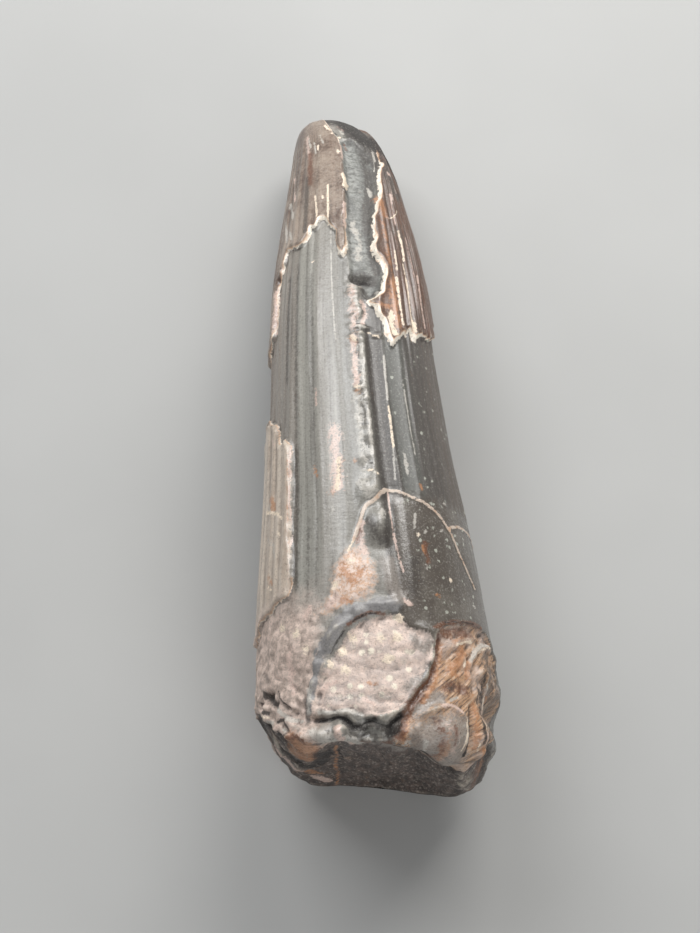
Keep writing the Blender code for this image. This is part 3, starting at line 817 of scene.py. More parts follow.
@dataclass
class Cracks(Region):
    """Cracks filled with pale mineral, the smooth blister beside them, and speckles."""

    paths: tuple[Path, ...] = (
        ((82, -4.95), (78, -4.92), (74, -5.0), (68, -5.15), (60, -5.37), (55, -5.57), (50, -5.85),
         (47, -6.15), (43, -6.55), (41, -6.9), (38, -7.4), (35, -7.75), (32, -8.1), (27, -8.6)),
        ((46, -6.3), (40, -6.15), (35, -6.05), (28, -6.0), (18, -6.05), (6, -6.3), (-6, -6.2)),
        ((81, -4.95), (84, -5.15), (88, -5.5), (91, -5.65), (92.5, -5.9), (94.5, -6.4),
         (96.5, -6.8), (98, -7.2)),
        ((200, -8.2), (212, -7.1), (221, -7.5), (233, -6.2), (243, -6.6)),
        ((-62, 4.5), (-50, 3.6), (-41, 3.9), (-30, 2.8), (-22, 3.1)),
    )
    raised: float = 0.04
    grooved: float = 0.03
    groove_place: float = 0.14
    line_reach: float = 0.06
    blister: tuple[Swelling, ...] = swellings(
        (86.5, -6.5, 0.5, 0.85, 0.34), (99, -8.7, 0.8, 0.9, 0.12), (83, -8.9, 0.4, 1, 0.12),
        (87, -7.45, 0.4, 0.26, -0.06),
    )
    strokes = laid(
        # Painted shade on the blister's lower side and in the pit under it: the black stroke and
        # the first dark one
        Pigment.BLACK, (0.1, 0.55, (88.5, -7.2), (86, -7.45), (84, -7.3)),
        Pigment.SHADE, (0.3, 0.75, (90.5, -6.4), (88.5, -7), (85, -7.2), (83.5, -6.8)),
        (0.1, 0.8, (79, -5.4), (78, -7)), (0.4, 0.75, (76, -8.4), (70, -8), (72, -9.3)),
        # A painted highlight on the blister's upper side; the pale strokes after it are specks
        Pigment.PALE, (0.12, 0.75, (84.6, -5.9), (84.4, -6.3)),
        (0.09, 0.75, (68, -6.5), (67, -5.9)), (0.1, 0.8, (62, -6.7)),
        (0.07, 0.8, (52, -6.5), (50, -6.45)), (0.07, 0.8, (46, -5.15), (43, -5.25)),
        (0.07, 0.8, (64.5, -8.1), (63.5, -8.3)), (0.07, 0.8, (33.5, -9.45), (31, -9.5)),
        Pigment.RUST, (0.1, 0.9, (94.5, -6.7), (95.5, -7.3)), (0.12, 0.75, (63.5, -7.1), (63, -8)),
        Pigment.PINK, (0.16, 0.85, (93.5, -6.5), (95, -7.2), (93, -7.8)),
        (0.05, 0.9, (80, -5), (80.2, -5.8), (79.8, -6.6), (79, -7.3), (78, -7.9), (76.5, -8.5)),
        (0.13, 0.8, (77, -9.75), (74.5, -9.85)),
        Pigment.CREAM, (0.06, 0.8, (98, -7.2), (101, -7.7)), (0.11, 0.85, (66.5, -6.85)),
        (0.11, 0.9, (49.4, -8.6)),
        Pigment.ORANGE, (0.08, 0.9, (64.8, -7.3), (64.2, -7.6)),
        (0.08, 0.9, (60, -9.35), (58.5, -9.4)),
        Pigment.GREY, (0.34, 0.9, (84, -8.2), (82, -9.2), (80, -9.6)),
    )

    def distance(self, sheet: SurfaceSheet) -> Array:
        """Distance to the nearest crack, in millimetres."""
        return np.min([sheet.distance(path) for path in self.paths], axis=0)

    def relief(self, sheet: SurfaceSheet) -> Array:
        """Thin raised seams with a fine groove on each side, and the blister.

        Args:
            sheet: The side's places.

        Returns:
            Millimetres added to the plain form.
        """
        away = self.distance(sheet)
        height = self.raised * bell(away, self.line_reach)
        height -= self.grooved * bell(away - self.groove_place, self.line_reach)
        for bump in self.blister:
            height += sheet.swelling(bump)
        return height

    def fields(self, sheet: SurfaceSheet) -> dict[str, Array]:
        """How far the nearest crack is."""
        return {"crack": self.distance(sheet)}


@dataclass
class RustPatch(Region):
    """The rusty, grainy patch above the crest."""

    outline: Path = (
        (97, -7.4), (101, -7.55), (105, -8), (109, -8.4), (109.5, -9.2), (112, -9.7), (118, -10.2),
        (112, -10.3), (104, -10), (97, -9.7), (91, -9.5), (89, -9), (89.5, -8.2), (92, -7.7),
    )
    strokes = laid(
        Pigment.CREAM, (0.2, 0.8, (107.5, -9.1)), (0.18, 0.75, (99, -8.1)),
        Pigment.PINK, (0.16, 0.85, (107, -9.6), (112, -10)),
        Pigment.ORANGE, (0.2, 0.8, (103, -8.4), (99, -9), (95, -8.6)),
    )

    def relief(self, sheet: SurfaceSheet) -> Array:
        """Small grains in a soft-edged patch."""
        inside = smooth_step(sheet.depth(self.outline), -0.2, 0.2)
        return inside * (0.05 * sheet.pebbles(0.3, 53) + 0.03 * sheet.noise(0.16, 54))

    def fields(self, sheet: SurfaceSheet) -> dict[str, Array]:
        """How far in the patch each place is."""
        return {"rusty": sheet.depth(self.outline)}


@dataclass
class Hollow(Region):
    """The shallow hollow of pink and cream grains, the crest over it and the shelf below."""

    sunk: float = 0.26
    outline: Path = (
        (87, -10.35), (94, -10.45), (99, -10.8), (104, -11.25), (108, -11.65), (111.5, -12.1),
        (115, -12.6), (118, -13.1), (118.5, -14), (112, -14.25), (106, -14.15), (98, -14.4),
        (90, -14.4), (84, -14.2), (79, -13.6), (75, -13), (70, -12.4), (67, -12), (65, -11.5),
        (66.5, -11), (72, -10.9), (77, -10.75), (81, -10.3),
    )
    crest: Ridge = Ridge(
        ((82, -9.85), (90, -9.95), (97, -10.15), (102, -10.4), (107, -10.85), (111, -11.3),
         (115, -11.8), (118, -12.5), (120, -13.1), (121.5, -14.1)), 0.27, 0.26,
    )
    shelf: Ridge = Ridge(
        ((118, -13.9), (110, -13.95), (102, -13.9), (95, -14.1), (88, -14.05)), 0.28, 0.16,
    )
    strokes = laid(
        # Painted shadow: a dark line under the crest, along the hollow's upper edge
        Pigment.RUST, (0.07, 0.95, (87, -10.3), (92, -10.25), (97, -10.45), (102, -10.75)),
        Pigment.BLACK, (0.05, 0.9, (90, -10.28), (94, -10.33), (100, -10.62)),
        (0.05, 0.75, (104, -11), (108, -11.45), (111, -11.9)),
        Pigment.CREAM, (0.24, 0.85, (111, -12.3)), (0.24, 0.85, (106, -11.8)),
        (0.22, 0.8, (104.5, -12.5)), (0.2, 0.95, (87, -12.1)), (0.2, 0.85, (82, -11.2)),
        (0.2, 0.75, (89, -11.3)), (0.22, 0.8, (101, -11.3)), (0.2, 0.85, (80.5, -10.45)),
        (0.22, 0.8, (129, -10.9)), (0.24, 0.8, (123.5, -11.6)), (0.22, 0.75, (140, -10.5)),
        Pigment.PINK, (0.14, 0.8, (115, -13.2), (110, -13)), (0.14, 0.8, (97, -13.7), (94, -13.9)),
        (0.3, 0.65, (134, -11.6), (133, -12.6)), (0.14, 0.8, (133, -13), (132, -13.3)),
        (0.16, 0.8, (121, -9.9), (124, -10.3)),
        Pigment.ORANGE, (0.1, 0.8, (95, -13.1), (92.5, -13.15)),
        (0.14, 0.7, (104, -9.7), (100, -9.8)),
        # The first grey stroke is partly the lower facet's grey and partly painted shade below the
        # step
        Pigment.GREY, (0.26, 0.58, (114, -13.7), (104, -13.65), (94, -13.7), (87, -13.6)),
        (0.3, 0.8, (75, -11.3), (71, -11.7), (68, -11.4)), (0.24, 0.75, (80, -13.3), (76, -12.9)),
        Pigment.PALE, (0.1, 0.9, (117, -14.2), (110, -14.25), (104, -14.15), (98, -14.35)),
        (0.16, 0.8, (121.5, -13.2), (122, -14.2)),
    )

    def from_crest(self, sheet: SurfaceSheet) -> Array:
        """Distance to the crest's line, stretched lower down, where the crest is narrower."""
        return sheet.distance(self.crest.path) / (0.6 + 0.4 * smooth_step(sheet.y, -12.6, -11.2))

    def relief(self, sheet: SurfaceSheet) -> Array:
        """The grainy sunk floor, the lumpy crest and the shelf.

        Args:
            sheet: The side's places.

        Returns:
            Millimetres added to the plain form.
        """
        edge = sheet.depth(self.outline) + 0.09 * sheet.noise(0.4, 55)
        inside = smooth_step(edge, -0.05, 0.16)
        grains = 0.04 * sheet.pebbles(0.5, 51) + 0.02 * sheet.pebbles(0.24, 52)
        grains += 0.1 * smooth_step(sheet.y + 0.25 * sheet.noise(0.7, 59), -13.75, -13.15)
        height = inside * (grains - self.sunk)
        lumpy = 0.8 + 0.7 * sheet.noise(0.6, 56) + 0.35 * sheet.noise(0.28, 57)
        height += self.crest.height * bell(self.from_crest(sheet), self.crest.reach) * lumpy
        height += sheet.ridge(self.shelf) * (0.8 + 0.4 * sheet.noise(0.6, 58))
        return height

    def fields(self, sheet: SurfaceSheet) -> dict[str, Array]:
        """How far in the hollow each place is, and how far the crest is."""
        return {"hollow": sheet.depth(self.outline), "crest": self.from_crest(sheet)}


@dataclass
class Wedge(Region):
    """The fibrous brown wedge on the right, with its glossy bulge and rough rim."""

    sunk: float = 0.2
    fibre_turn: float = FIBRE_TURN
    outline: Path = (
        (63, -10.95), (56, -10.6), (50, -10.5), (40, -10.4), (30, -10.35), (18, -10.6), (8, -11),
        (1, -12), (-4, -13), (-4, -17.5), (87, -17.5), (85, -15.4), (82, -14.6), (77, -13.8),
        (70, -13), (66, -12.4),
    )
    seam: Ridge = Ridge(
        ((62, -11.1), (65, -12.1), (70, -12.95), (75, -13.45), (79, -13.95), (82, -14.55),
         (84, -15.2)), 0.12, -0.24,
    )
    bumps: tuple[Swelling, ...] = swellings(
        (61, -15.1, 1, 1.15, 0.42), (71, -14.1, 0.7, 0.5, 0.12), (76, -15, 0.4, 0.5, 0.16),
        (39, -14.9, 0.5, 0.6, 0.3), (36, -15.7, 0.5, 0.45, 0.26), (43, -13.9, 0.3, 0.5, 0.16),
        (33, -12.2, 0.7, 0.5, 0.2), (24, -11.2, 0.9, 0.35, 0.16), (14, -13.7, 2.4, 0.7, -0.62),
        (2, -15.2, 2.6, 1.7, -0.62), (57, -13.15, 0.5, 0.3, -0.1), (48, -14.6, 0.16, 0.9, -0.22),
    )
    strands: tuple[Ridge, ...] = (
        Ridge(((18, -10.95), (30, -11.1), (38, -11.45), (43, -11.95), (47, -12.6)), 0.12, 0.14),
        Ridge(((26, -10.75), (36, -10.85), (46, -11.1)), 0.10, 0.10),
        Ridge(((75, -14.35), (68, -14.05), (62, -13.9), (56, -14.05), (52, -14.4), (50, -15.3)),
              0.10, 0.12),
    )
    strokes = laid(
        Pigment.RUST, (0.16, 0.95, (62, -11.1), (65, -12.1), (70, -12.95), (75, -13.45)),
        (0.2, 1, (75, -13.45), (79, -13.95), (82, -14.55), (84, -15.2)),
        # Partly rusty brown, partly a painted shadow along the wedge's top edge
        (0.1, 0.9, (64, -10.75), (58, -10.55), (50, -10.4), (40, -10.3), (28, -10.3)),
        (0.24, 0.9, (62, -13.2), (57, -13.05), (51, -13.2)),
        (0.2, 0.7, (68, -14.6), (65, -15.2), (64, -15.9)), (0.16, 0.65, (60, -14.7), (58, -15.4)),
        (0.22, 0.8, (60, -10.95), (50, -10.75), (38, -10.7)),
        Pigment.ORANGE, (0.14, 0.9, (61, -11.4), (63.5, -12.2), (68, -13.1), (74, -13.8)),
        (0.12, 0.9, (79, -14.2), (81, -14.8), (82, -15.3)),
        (0.3, 0.85, (47, -11.4), (52, -12), (57, -12.5)), (0.2, 0.8, (45, -12), (48, -12.6)),
        (0.13, 0.8, (60, -10.85), (54, -10.95)), (0.1, 0.75, (53, -11.2), (48, -11), (42, -10.8)),
        (0.14, 0.8, (65, -15.5), (63, -15.9)), (0.3, 0.6, (63, -15.2), (60, -15.9)),
        (0.15, 0.85, (46, -13.4), (44.5, -14.4), (44, -15.4)),
        (0.16, 0.75, (28, -13.2), (27, -14.4)), (0.13, 0.9, (38.5, -15.4), (36, -15.7)),
        (0.1, 0.8, (33, -15.5), (32, -15.9)),
        # A painted shadow along the wedge's top edge
        Pigment.BLACK, (0.05, 0.85, (58, -10.5), (48, -10.36), (36, -10.3)),
        (0.12, 0.65, (60, -13.2), (56, -13.15)),
        (0.08, 0.85, (48.5, -13.8), (48, -14.8), (47.5, -15.8)),
        (0.12, 0.8, (41, -13), (41, -14.2), (40, -15.2)),
        (0.26, 0.65, (33, -12.2), (36, -13.1), (36, -14.2), (33, -15)),
        (0.36, 0.55, (22, -12.4), (24, -13.6), (20, -15.2)), (0.2, 0.8, (32, -15.4), (31, -16.2)),
        Pigment.CREAM, (0.06, 0.9, (52, -11.35), (46, -11.15), (38, -11)),
        (0.06, 0.9, (22, -11.05), (31, -11.25), (37, -11.55)),
        (0.05, 0.9, (46, -11.8), (49, -12.2)), (0.05, 0.9, (52.5, -14.3), (51, -14.9), (51, -15.6)),
        (0.07, 0.85, (33, -13.2), (33.6, -13.8)), (0.08, 0.95, (38.4, -14.45), (37.6, -14.6)),
        (0.06, 0.9, (37, -13.55), (36, -13.7)), (0.05, 0.9, (42, -15.3), (41.4, -15.5)),
        Pigment.PALE, (0.1, 1, (20, -10.95), (30, -11.05), (38, -11.4), (43, -11.9), (47, -12.6)),
        # The second pale stroke here is a painted highlight on the bulge
        (0.08, 0.8, (60, -13.65), (55, -13.5)), (0.09, 0.85, (73, -15.4), (72, -15.7)),
        (0.1, 0.8, (30, -12.6), (31, -13.6), (30, -14.6)),
        (0.36, 0.5, (66, -15.3), (58, -15.5), (54, -14.9)),
        Pigment.GREY, (0.34, 0.95, (79, -14.2), (72, -13.8), (66, -13.6)),
        (0.75, 1, (72, -15.2), (64, -15), (56, -15)), (0.28, 0.9, (78, -15.1), (75, -15.5)),
        (0.7, 1, (68, -15.9), (60, -16), (53, -15.9)),
        Pigment.PINK, (0.08, 0.95, (66, -13.95), (60, -13.9), (54, -14.1)),
        (0.4, 0.5, (63, -14.7), (58, -15.1), (57, -15.8)), (0.08, 0.85, (39.5, -14.9), (38, -15.2)),
        Pigment.SHADE, (0.6, 0.75, (26, -11.6), (27, -13), (27, -14.6), (22, -16.2)),
        (1.1, 0.75, (8, -12.4), (10, -14), (8, -16)),
    )

    def relief(self, sheet: SurfaceSheet) -> Array:
        """A sunk, fibrous area with a seam, bumps and raised strands.

        Args:
            sheet: The side's places.

        Returns:
            Millimetres added to the plain form.
        """
        crumble = 0.08 * sheet.noise(0.4, 62)
        inside = smooth_step(sheet.depth(self.outline) + crumble, -0.06, 0.16)
        upper = smooth_step(sheet.y, -14.2, -13.2)
        fibre = sheet.fibres(self.fibre_turn, 0.15, 1.1, 61)
        fibre += 0.5 * sheet.fibres(self.fibre_turn - 6, 0.09, 0.6, 63)
        height = inside * (0.07 * fibre * upper - self.sunk)
        height += sheet.ridge(self.seam)
        for strand in self.strands:
            height += sheet.ridge(strand)
        for bump in self.bumps:
            height += sheet.swelling(bump)
        return height

    def fields(self, sheet: SurfaceSheet) -> dict[str, Array]:
        """How far in the wedge each place is."""
        return {"wedge": sheet.depth(self.outline)}


@dataclass
class Rim(Region):
    """The ragged rim at the torn end: its groove, cavity, lumps, streaks and rounding."""

    rounding: float = 0.35
    roll_angle: float = 50.0
    roll_spread: float = 18.0
    bulge_place: Place = (61, -15.0)
    streak_turn: float = 27.0
    groove: Ridge = Ridge(
        ((119, -14.5), (112, -14.5), (108, -14.4), (105, -14.5), (102, -14.8), (99, -14.8),
         (96, -14.6), (93, -14.55), (91, -14.75), (88, -14.8), (86, -14.6), (83, -14.35)),
        0.12, -0.32,
    )
    cavity: Path = (
        (104, -14.9), (100, -14.95), (96, -14.75), (90, -14.85), (86, -14.7), (84.5, -15.2),
        (86, -15.9), (96, -16.2), (104, -15.9),
    )
    cavity_depth: float = 0.32
    lumps: tuple[Swelling, ...] = swellings(
        (115.5, -15.1, 0.5, 0.4, 0.26), (107, -15.1, 0.28, 0.36, 0.34),
        (101, -15.35, 0.22, 0.22, 0.26), (96, -15.35, 0.25, 0.2, 0.2), (90, -16, 0.7, 0.22, 0.16),
        (91, -15.4, 0.2, 0.2, 0.14), (122, -15.1, 0.35, 0.4, 0.2), (127, -15.5, 0.5, 0.45, 0.2),
        (134, -15.2, 0.45, 0.3, 0.16), (131.5, -15.8, 0.34, 0.3, 0.26),
        (138.5, -15.35, 0.3, 0.26, 0.24), (146, -14.75, 0.34, 0.28, 0.22),
        (153, -14.2, 0.3, 0.26, 0.18), (135.2, -15.5, 0.16, 0.22, -0.26),
        (142.6, -15, 0.18, 0.2, -0.24), (124.5, -15.7, 0.2, 0.26, -0.22),
        (150, -13.25, 0.45, 0.3, -0.3), (158, -13.5, 0.4, 0.3, -0.25),
        (168, -15.3, 1.7, 1.1, -0.65), (225, -14.2, 1.4, 0.8, -0.4), (-55, -13.6, 1.2, 0.7, -0.4),
        (-20, -14.6, 0.9, 0.6, 0.22), (190, -13, 0.8, 0.5, -0.22), (206, -12, 1, 0.6, 0.2),
        (240, -12.6, 0.9, 0.6, 0.18),
    )
    strokes = laid(
        # Painted shadow in the groove and the cavity under the rim
        Pigment.BLACK, (0.07, 0.9, (118, -14.55), (112, -14.5), (108, -14.42), (105, -14.5)),
        (0.14, 1, (105, -14.55), (102, -14.85), (98, -14.85), (94, -14.7)),
        (0.14, 1, (94, -14.7), (91, -14.85), (88, -14.9), (85, -14.6), (83.5, -14.4)),
        (0.14, 0.95, (88, -15.1), (85, -15), (84, -14.7)),
        # Painted shade in the pits and crevices between the rim's lumps
        (0.16, 0.95, (156, -13), (150, -13.3), (144, -13.6)),
        (0.1, 0.9, (160, -13.4), (154, -13.8), (150, -13.9)),
        (0.08, 0.9, (143, -14.35), (138, -14.3), (133, -14.75)),
        (0.12, 0.9, (154, -14.3), (148, -14.6)),
        (0.1, 0.85, (142, -14.75), (138, -15.05), (134, -14.95)),
        (0.1, 0.85, (146, -15), (142, -15.3)), (0.1, 0.85, (135, -15.45), (131, -15.7)),
        (0.06, 0.85, (142, -13.1), (138, -13.6), (133, -13.9)),
        # The first dark stroke is painted shade in the cavity under the rim
        Pigment.SHADE, (0.16, 0.7, (103, -15.2), (97, -15.1), (91, -15.2), (86, -15.2)),
        (0.1, 0.95, (112, -15), (110.5, -15.4)), (0.12, 0.8, (124, -13.6), (123, -14.6)),
        (0.16, 0.7, (150, -12.6), (156, -12.2)),
        Pigment.RUST, (0.18, 0.85, (98, -15.5), (92, -15.6), (87, -15.5)),
        (0.12, 0.85, (133, -15.1), (128, -15.1), (124, -15.3)),
        Pigment.PALE,
        (0.16, 0.65, (108, -15.85), (98, -15.95), (90, -15.95), (84, -15.7), (80, -15.4)),
        (0.22, 0.9, (109.5, -15.3), (104, -15.4), (101, -15.6)),
        (0.24, 0.95, (119, -15), (114, -15.2), (112, -15.4)),
        (0.1, 0.9, (102, -15.3), (100, -15.4)), (0.09, 0.8, (96.5, -15.3), (94.5, -15.35)),
        (0.1, 0.85, (151, -14.25), (147, -14.35)), (0.08, 0.85, (138, -14.65), (135, -14.85)),
        (0.1, 0.85, (143, -13.8), (135, -14.3), (126, -14.5)),
        Pigment.PINK, (0.16, 0.95, (107.5, -14.9), (106.5, -15.3)),
        (0.12, 0.7, (145, -14.6), (142, -14.5)),
        Pigment.CREAM, (0.045, 0.9, (155, -13.95), (150, -14.1)),
        (0.06, 0.9, (141, -15.45), (136, -15.65)), (0.08, 0.9, (136, -15.8), (132, -16)),
        Pigment.ORANGE, (0.36, 0.95, (132, -15.2), (127, -15.45), (123, -15.75)),
    )

    def relief(self, sheet: SurfaceSheet) -> Array:
        """Grooves, lumps and crumbly noise that grows towards the rim, then a rounded edge.

        Args:
            sheet: The side's places.

        Returns:
            Millimetres added to the plain form.
        """
        height = sheet.ridge(self.groove) * (0.8 + 0.5 * sheet.noise(0.4, 71))
        height -= self.cavity_depth * smooth_step(sheet.depth(self.cavity), -0.05, 0.3)
        for bump in self.lumps:
            height += sheet.swelling(bump)
        root = smooth_step(-sheet.y, 8.8, 12.0)
        bulge_angle, bulge_y = self.bulge_place
        from_bulge = np.hypot(sheet.turned(bulge_angle), sheet.y - bulge_y)
        bulge = smooth_step(-from_bulge, -1.25, -0.8)
        plate = smooth_step(-sheet.angle, -84.0, -78.0) * smooth_step(sheet.y, -11.0, -10.3)
        calm = (1.0 - 0.85 * bulge) * (1.0 - 0.8 * plate)
        crust = 0.12 * sheet.noise(1.1, 5) + 0.10 * (sheet.pebbles(0.62, 6) - 0.5)
        crust += 0.03 * (sheet.pebbles(0.32, 7) - 0.5) + 0.012 * sheet.noise(0.16, 14)
        height += root * calm * crust
        left = smooth_step(sheet.angle, 121.0, 128.0) * smooth_step(-sheet.y, 12.6, 13.6)
        streaks = sheet.fibres(self.streak_turn, 0.2, 1.6, 72)
        streaks += 0.5 * sheet.fibres(self.streak_turn, 0.1, 0.9, 73)
        height += 0.11 * left * streaks
        at_rim = smooth_step(sheet.rim_y - sheet.y, -1.3, -0.2)
        height += at_rim * calm * (0.10 * sheet.noise(0.55, 9) + 0.05 * sheet.noise(0.26, 15))
        roll = bell(sheet.angle - self.roll_angle, self.roll_spread)
        near = np.clip(1.0 - (sheet.y - sheet.rim_y) / (self.rounding + 1.5 * roll), 0.0, 1.0)
        return height - (self.rounding + 0.9 * roll) * (1.0 - np.sqrt(1.0 - (0.95 * near) ** 2))


@dataclass
class ToothSurface:
    """The tooth's whole surface as one closed grid, with its fields for the finish."""

    form: ToothForm
    regions: tuple[Region, ...]
    columns_above: int = 212
    columns_below: int = 96
    end_rings: int = 32
    end_roughness: float = 0.15
    end_dish: float = 0.35
    # The half of the turn that faces up, whose columns lie closer together
    upper_span: tuple[float, float] = (-6.0, 186.0)
    # Millimetres back from the tip where each band of rows ends, and its number of rows
    row_bands: tuple[tuple[float, int], ...] = ((0.75, 8), (14.3, 126), (20.5, 40), (25.4, 40))
    root_rows: int = 70
    # Deposits on the torn end, whose paths are (x, z) in the form's millimetres
    end_marks: tuple[Stroke, ...] = laid(
        Pigment.ORANGE, (0.5, 1, (-3.3, 8.6), (-3.15, 6.2)), (0.24, 0.9, (-3.4, 2.6), (-2.7, 2.2)),
        (0.06, 0.95, (-1.86, 8.9), (-1.98, 7.2), (-1.84, 5.6), (-1.95, 3.9), (-1.82, 2.2),
         (-1.92, 0.4)),
        (0.2, 0.7, (4.2, 7.8), (4.4, 6.2)), (0.18, 0.65, (4.3, 4.6), (4.2, 3.4)),
        Pigment.RUST, (0.12, 0.8, (-2.75, 8.6), (-2.7, 5.9)),
        (0.26, 0.6, (3.95, 8.4), (4.2, 6.2), (4.1, 3.4), (3.8, 1.2)),
        Pigment.BLACK, (0.38, 0.95, (-2.45, 8.2), (-2.35, 6.4), (-2.6, 4.6)),
        (0.24, 0.85, (-4, 5.8), (-3.5, 4.8), (-2.8, 3.8)),
        (0.07, 0.8, (-1.68, 8.6), (-1.8, 7.1), (-1.66, 5.6), (-1.77, 3.9), (-1.66, 2.2)),
        (0.4, 0.65, (1.7, 9.3), (2.4, 8.2), (3, 6.8)), (0.3, 0.65, (3.4, 3.2), (3.3, 0.6)),
        Pigment.PINK, (0.24, 0.95, (-4.3, 4.8), (-3.9, 3.8), (-3.4, 3.2)),
        (0.22, 0.95, (-2.9, 1.6), (-2.3, 1.2)),
        Pigment.GREY, (0.45, 0.8, (0.2, 9.4), (0.7, 8.8), (0.9, 8)),
        (0.35, 0.8, (-1.2, 9.6), (-0.4, 9.4)),
        Pigment.CREAM, (0.07, 0.75, (4.35, 6), (4.4, 5.4)),
    )
    # Middle angle, spread and length of the crust that laps over the torn end
    covers: tuple[Triple, ...] = ((50, 15, 2.4), (128, 8, 0.8), (104, 15, 1.5))

    def angles(self) -> Array:
        """Column angles, close together above and wider below, from -93 degrees round.

        Returns:
            The angles, in degrees.
        """
        start, end = self.upper_span
        right = self.columns_below // 2
        left = self.columns_below - right
        above = np.linspace(start, end, self.columns_above, endpoint=False)
        before = np.linspace(SEAM_ANGLE, start, right, endpoint=False)
        after = np.linspace(end, SEAM_ANGLE + FULL_TURN, left, endpoint=False)
        return np.concatenate([before, above, after])

    def row_y(self, rim_y: Array) -> Array:
        """Each row's y: even bands down the crown, then a last one that ends on the rim.

        Args:
            rim_y: The rim's y for each column.

        Returns:
            Rows of y, with a column for each of the rim's.
        """
        starts = (0.0,) + tuple(end for end, _ in self.row_bands[:-1])
        bands = [
            np.linspace(start, end, count + 1)[1:]
            for start, (end, count) in zip(starts, self.row_bands)
        ]
        crown = self.form.tip_y - np.concatenate(bands)[:, None] + 0.0 * rim_y
        share = np.linspace(0.0, 1.0, self.root_rows + 1)[1:, None]
        last = crown[-1:]
        return np.concatenate([crown, last + share * (rim_y - last)])

    @staticmethod
    def outward(points: Array) -> Array:
        """Outward unit directions of a grid whose rows run back from the tip.

        Args:
            points: The grid's points.

        Returns:
            Unit directions of the grid's shape.
        """
        round_step = np.roll(points, -1, axis=1) - np.roll(points, 1, axis=1)
        back_step = np.gradient(points, axis=0)
        direction = np.cross(round_step, back_step)
        return direction / np.maximum(np.linalg.norm(direction, axis=-1, keepdims=True), 1e-9)

    @staticmethod
    def local_rise(height: Array, rounds: int = 5) -> Array:
        """How far each place stands above its neighbours' mean, for dirt and painted shade in dips,
        and wear and painted highlights on rises.

        Args:
            height: Any grid of heights.
            rounds: How often the mean is taken.

        Returns:
            The height less the mean, in the height's unit.
        """
        mean = height
        for _ in range(rounds):
            sideways = np.roll(mean, 1, axis=1) + np.roll(mean, -1, axis=1)
            ahead = np.concatenate([mean[:1], mean[:-1]])
            behind = np.concatenate([mean[1:], mean[-1:]])
            mean = (2 * mean + sideways + ahead + behind) / 6
        return height - mean

    def end_grid(self, rim: Array) -> tuple[Array, Array]:
        """Rings that close the torn end.

        Args:
            rim: The last side row, in millimetres.

        Returns:
            Ring points, which shrink to the end's middle with a dish and broken-stone noise
            added along y, and how far in from the rim each point lies.
        """
        centre_x, centre_z = self.form.end_centre
        share = np.linspace(1.0, 0.0, self.end_rings + 2)[1:-1, None]
        x = centre_x + share * (rim[:, 0] - centre_x)
        z = centre_z + share * (rim[:, 2] - centre_z)
        rings = np.stack([x, self.form.end_y(x, z), z], axis=-1)
        rim_offset = rim[:, 1] - self.form.end_y(rim[:, 0], rim[:, 2])
        drawn = rings * np.array([1.0, 1.0, 0.45])
        rough = 2.0 * lump_noise(drawn, 1.7, 21) + 1.1 * lump_noise(drawn, 0.8, 22)
        rough += 0.6 * (pebbles(drawn, 0.5, 23) - 0.5) + 0.4 * (pebbles(drawn, 0.28, 24) - 0.5)
        rings[..., 1] += rim_offset * smooth_step(share, 0.75, 1.0)
        rings[..., 1] += self.end_dish * (1.0 - share ** 2)
        rings[..., 1] += self.end_roughness * rough * smooth_step(1.0 - share, 0.0, 0.12)
        inward = (1.0 - share) * np.hypot(rim[:, 0] - centre_x, rim[:, 2] - centre_z)
        return rings, inward

    def end_cover(self, angle: Array) -> Array:
        """How far the side's crust reaches over the torn end at each angle, in millimetres."""
        reaches = [top * bell(angle - middle, spread) for middle, spread, top in self.covers]
        return np.sum(reaches, axis=0)

    def build(self) -> bpy.types.Object:
        """Make the mesh object.

        Returns:
            The tooth's surface, with one float attribute for each field and a vector one for
            places on an even cylinder round it.
        """
        angle = self.angles()[None, :]
        rim_y = self.form.rim_y(angle)
        y = self.row_y(rim_y)
        angle = angle + 0.0 * y
        plain = self.form.points(angle, y)
        sheet = SurfaceSheet(self.form, angle, y, plain, rim_y + 0.0 * y)
        height = np.sum([region.relief(sheet) for region in self.regions], axis=0)
        height += 0.025 * sheet.noise(2.4, 8) + 0.004 * sheet.noise(0.3, 10)
        height *= smooth_step(self.form.tip_y - y, 0.1, 1.0)
        side = plain + self.outward(plain) * height[..., None]
        rings, inward = self.end_grid(side[-1])
        fields = self.side_fields(sheet, height)
        beyond = inward - self.end_cover(angle[:1])
        fields = {
            name: np.concatenate([part, part[-1:] + 0.0 * inward]) for name, part in fields.items()
        }
        fields["torn"] = np.concatenate([rim_y - y, inward]) - self.end_cover(angle[:1])
        for pigment in Pigment:
            marks = [
                cone(path_distance(rings[..., 0], rings[..., 2], 1.0, mark.path), mark)
                for mark in self.end_marks if mark.pigment is pigment
            ]
            kept = fields[pigment.value][len(y):] * (1.0 - smooth_step(beyond, -0.2, 0.4))
            fields[pigment.value][len(y):] = np.max([kept, *marks], axis=0)
        fields["height_above_neighbours"][len(y):] = -self.local_rise(rings[..., 1])
        points = np.concatenate([side, rings])
        points[..., 2] = np.maximum(points[..., 2], 0.0)
        return self.mesh_object(points, fields)

    def side_fields(self, sheet: SurfaceSheet, height: Array) -> dict[str, Array]:
        """Fields that the finish reads.

        Args:
            sheet: The side's places.
            height: The relief there.

        Returns:
            Signed distances in millimetres, and deposits from 0 to 1, each a cone that falls
            from the stroke's path to nothing at twice its reach.
        """
        fields = {"around": sheet.angle, "along": sheet.y, "height_above_neighbours": self.local_rise(height)}
        for region in self.regions:
            fields.update(region.fields(sheet))
        strokes = [stroke for region in self.regions for stroke in region.strokes]
        for pigment in Pigment:
            cover = np.zeros(sheet.y.shape)
            for stroke in strokes:
                if stroke.pigment is pigment:
                    cover = np.maximum(cover, cone(sheet.distance(stroke.path), stroke))
            fields[pigment.value] = cover
        return fields

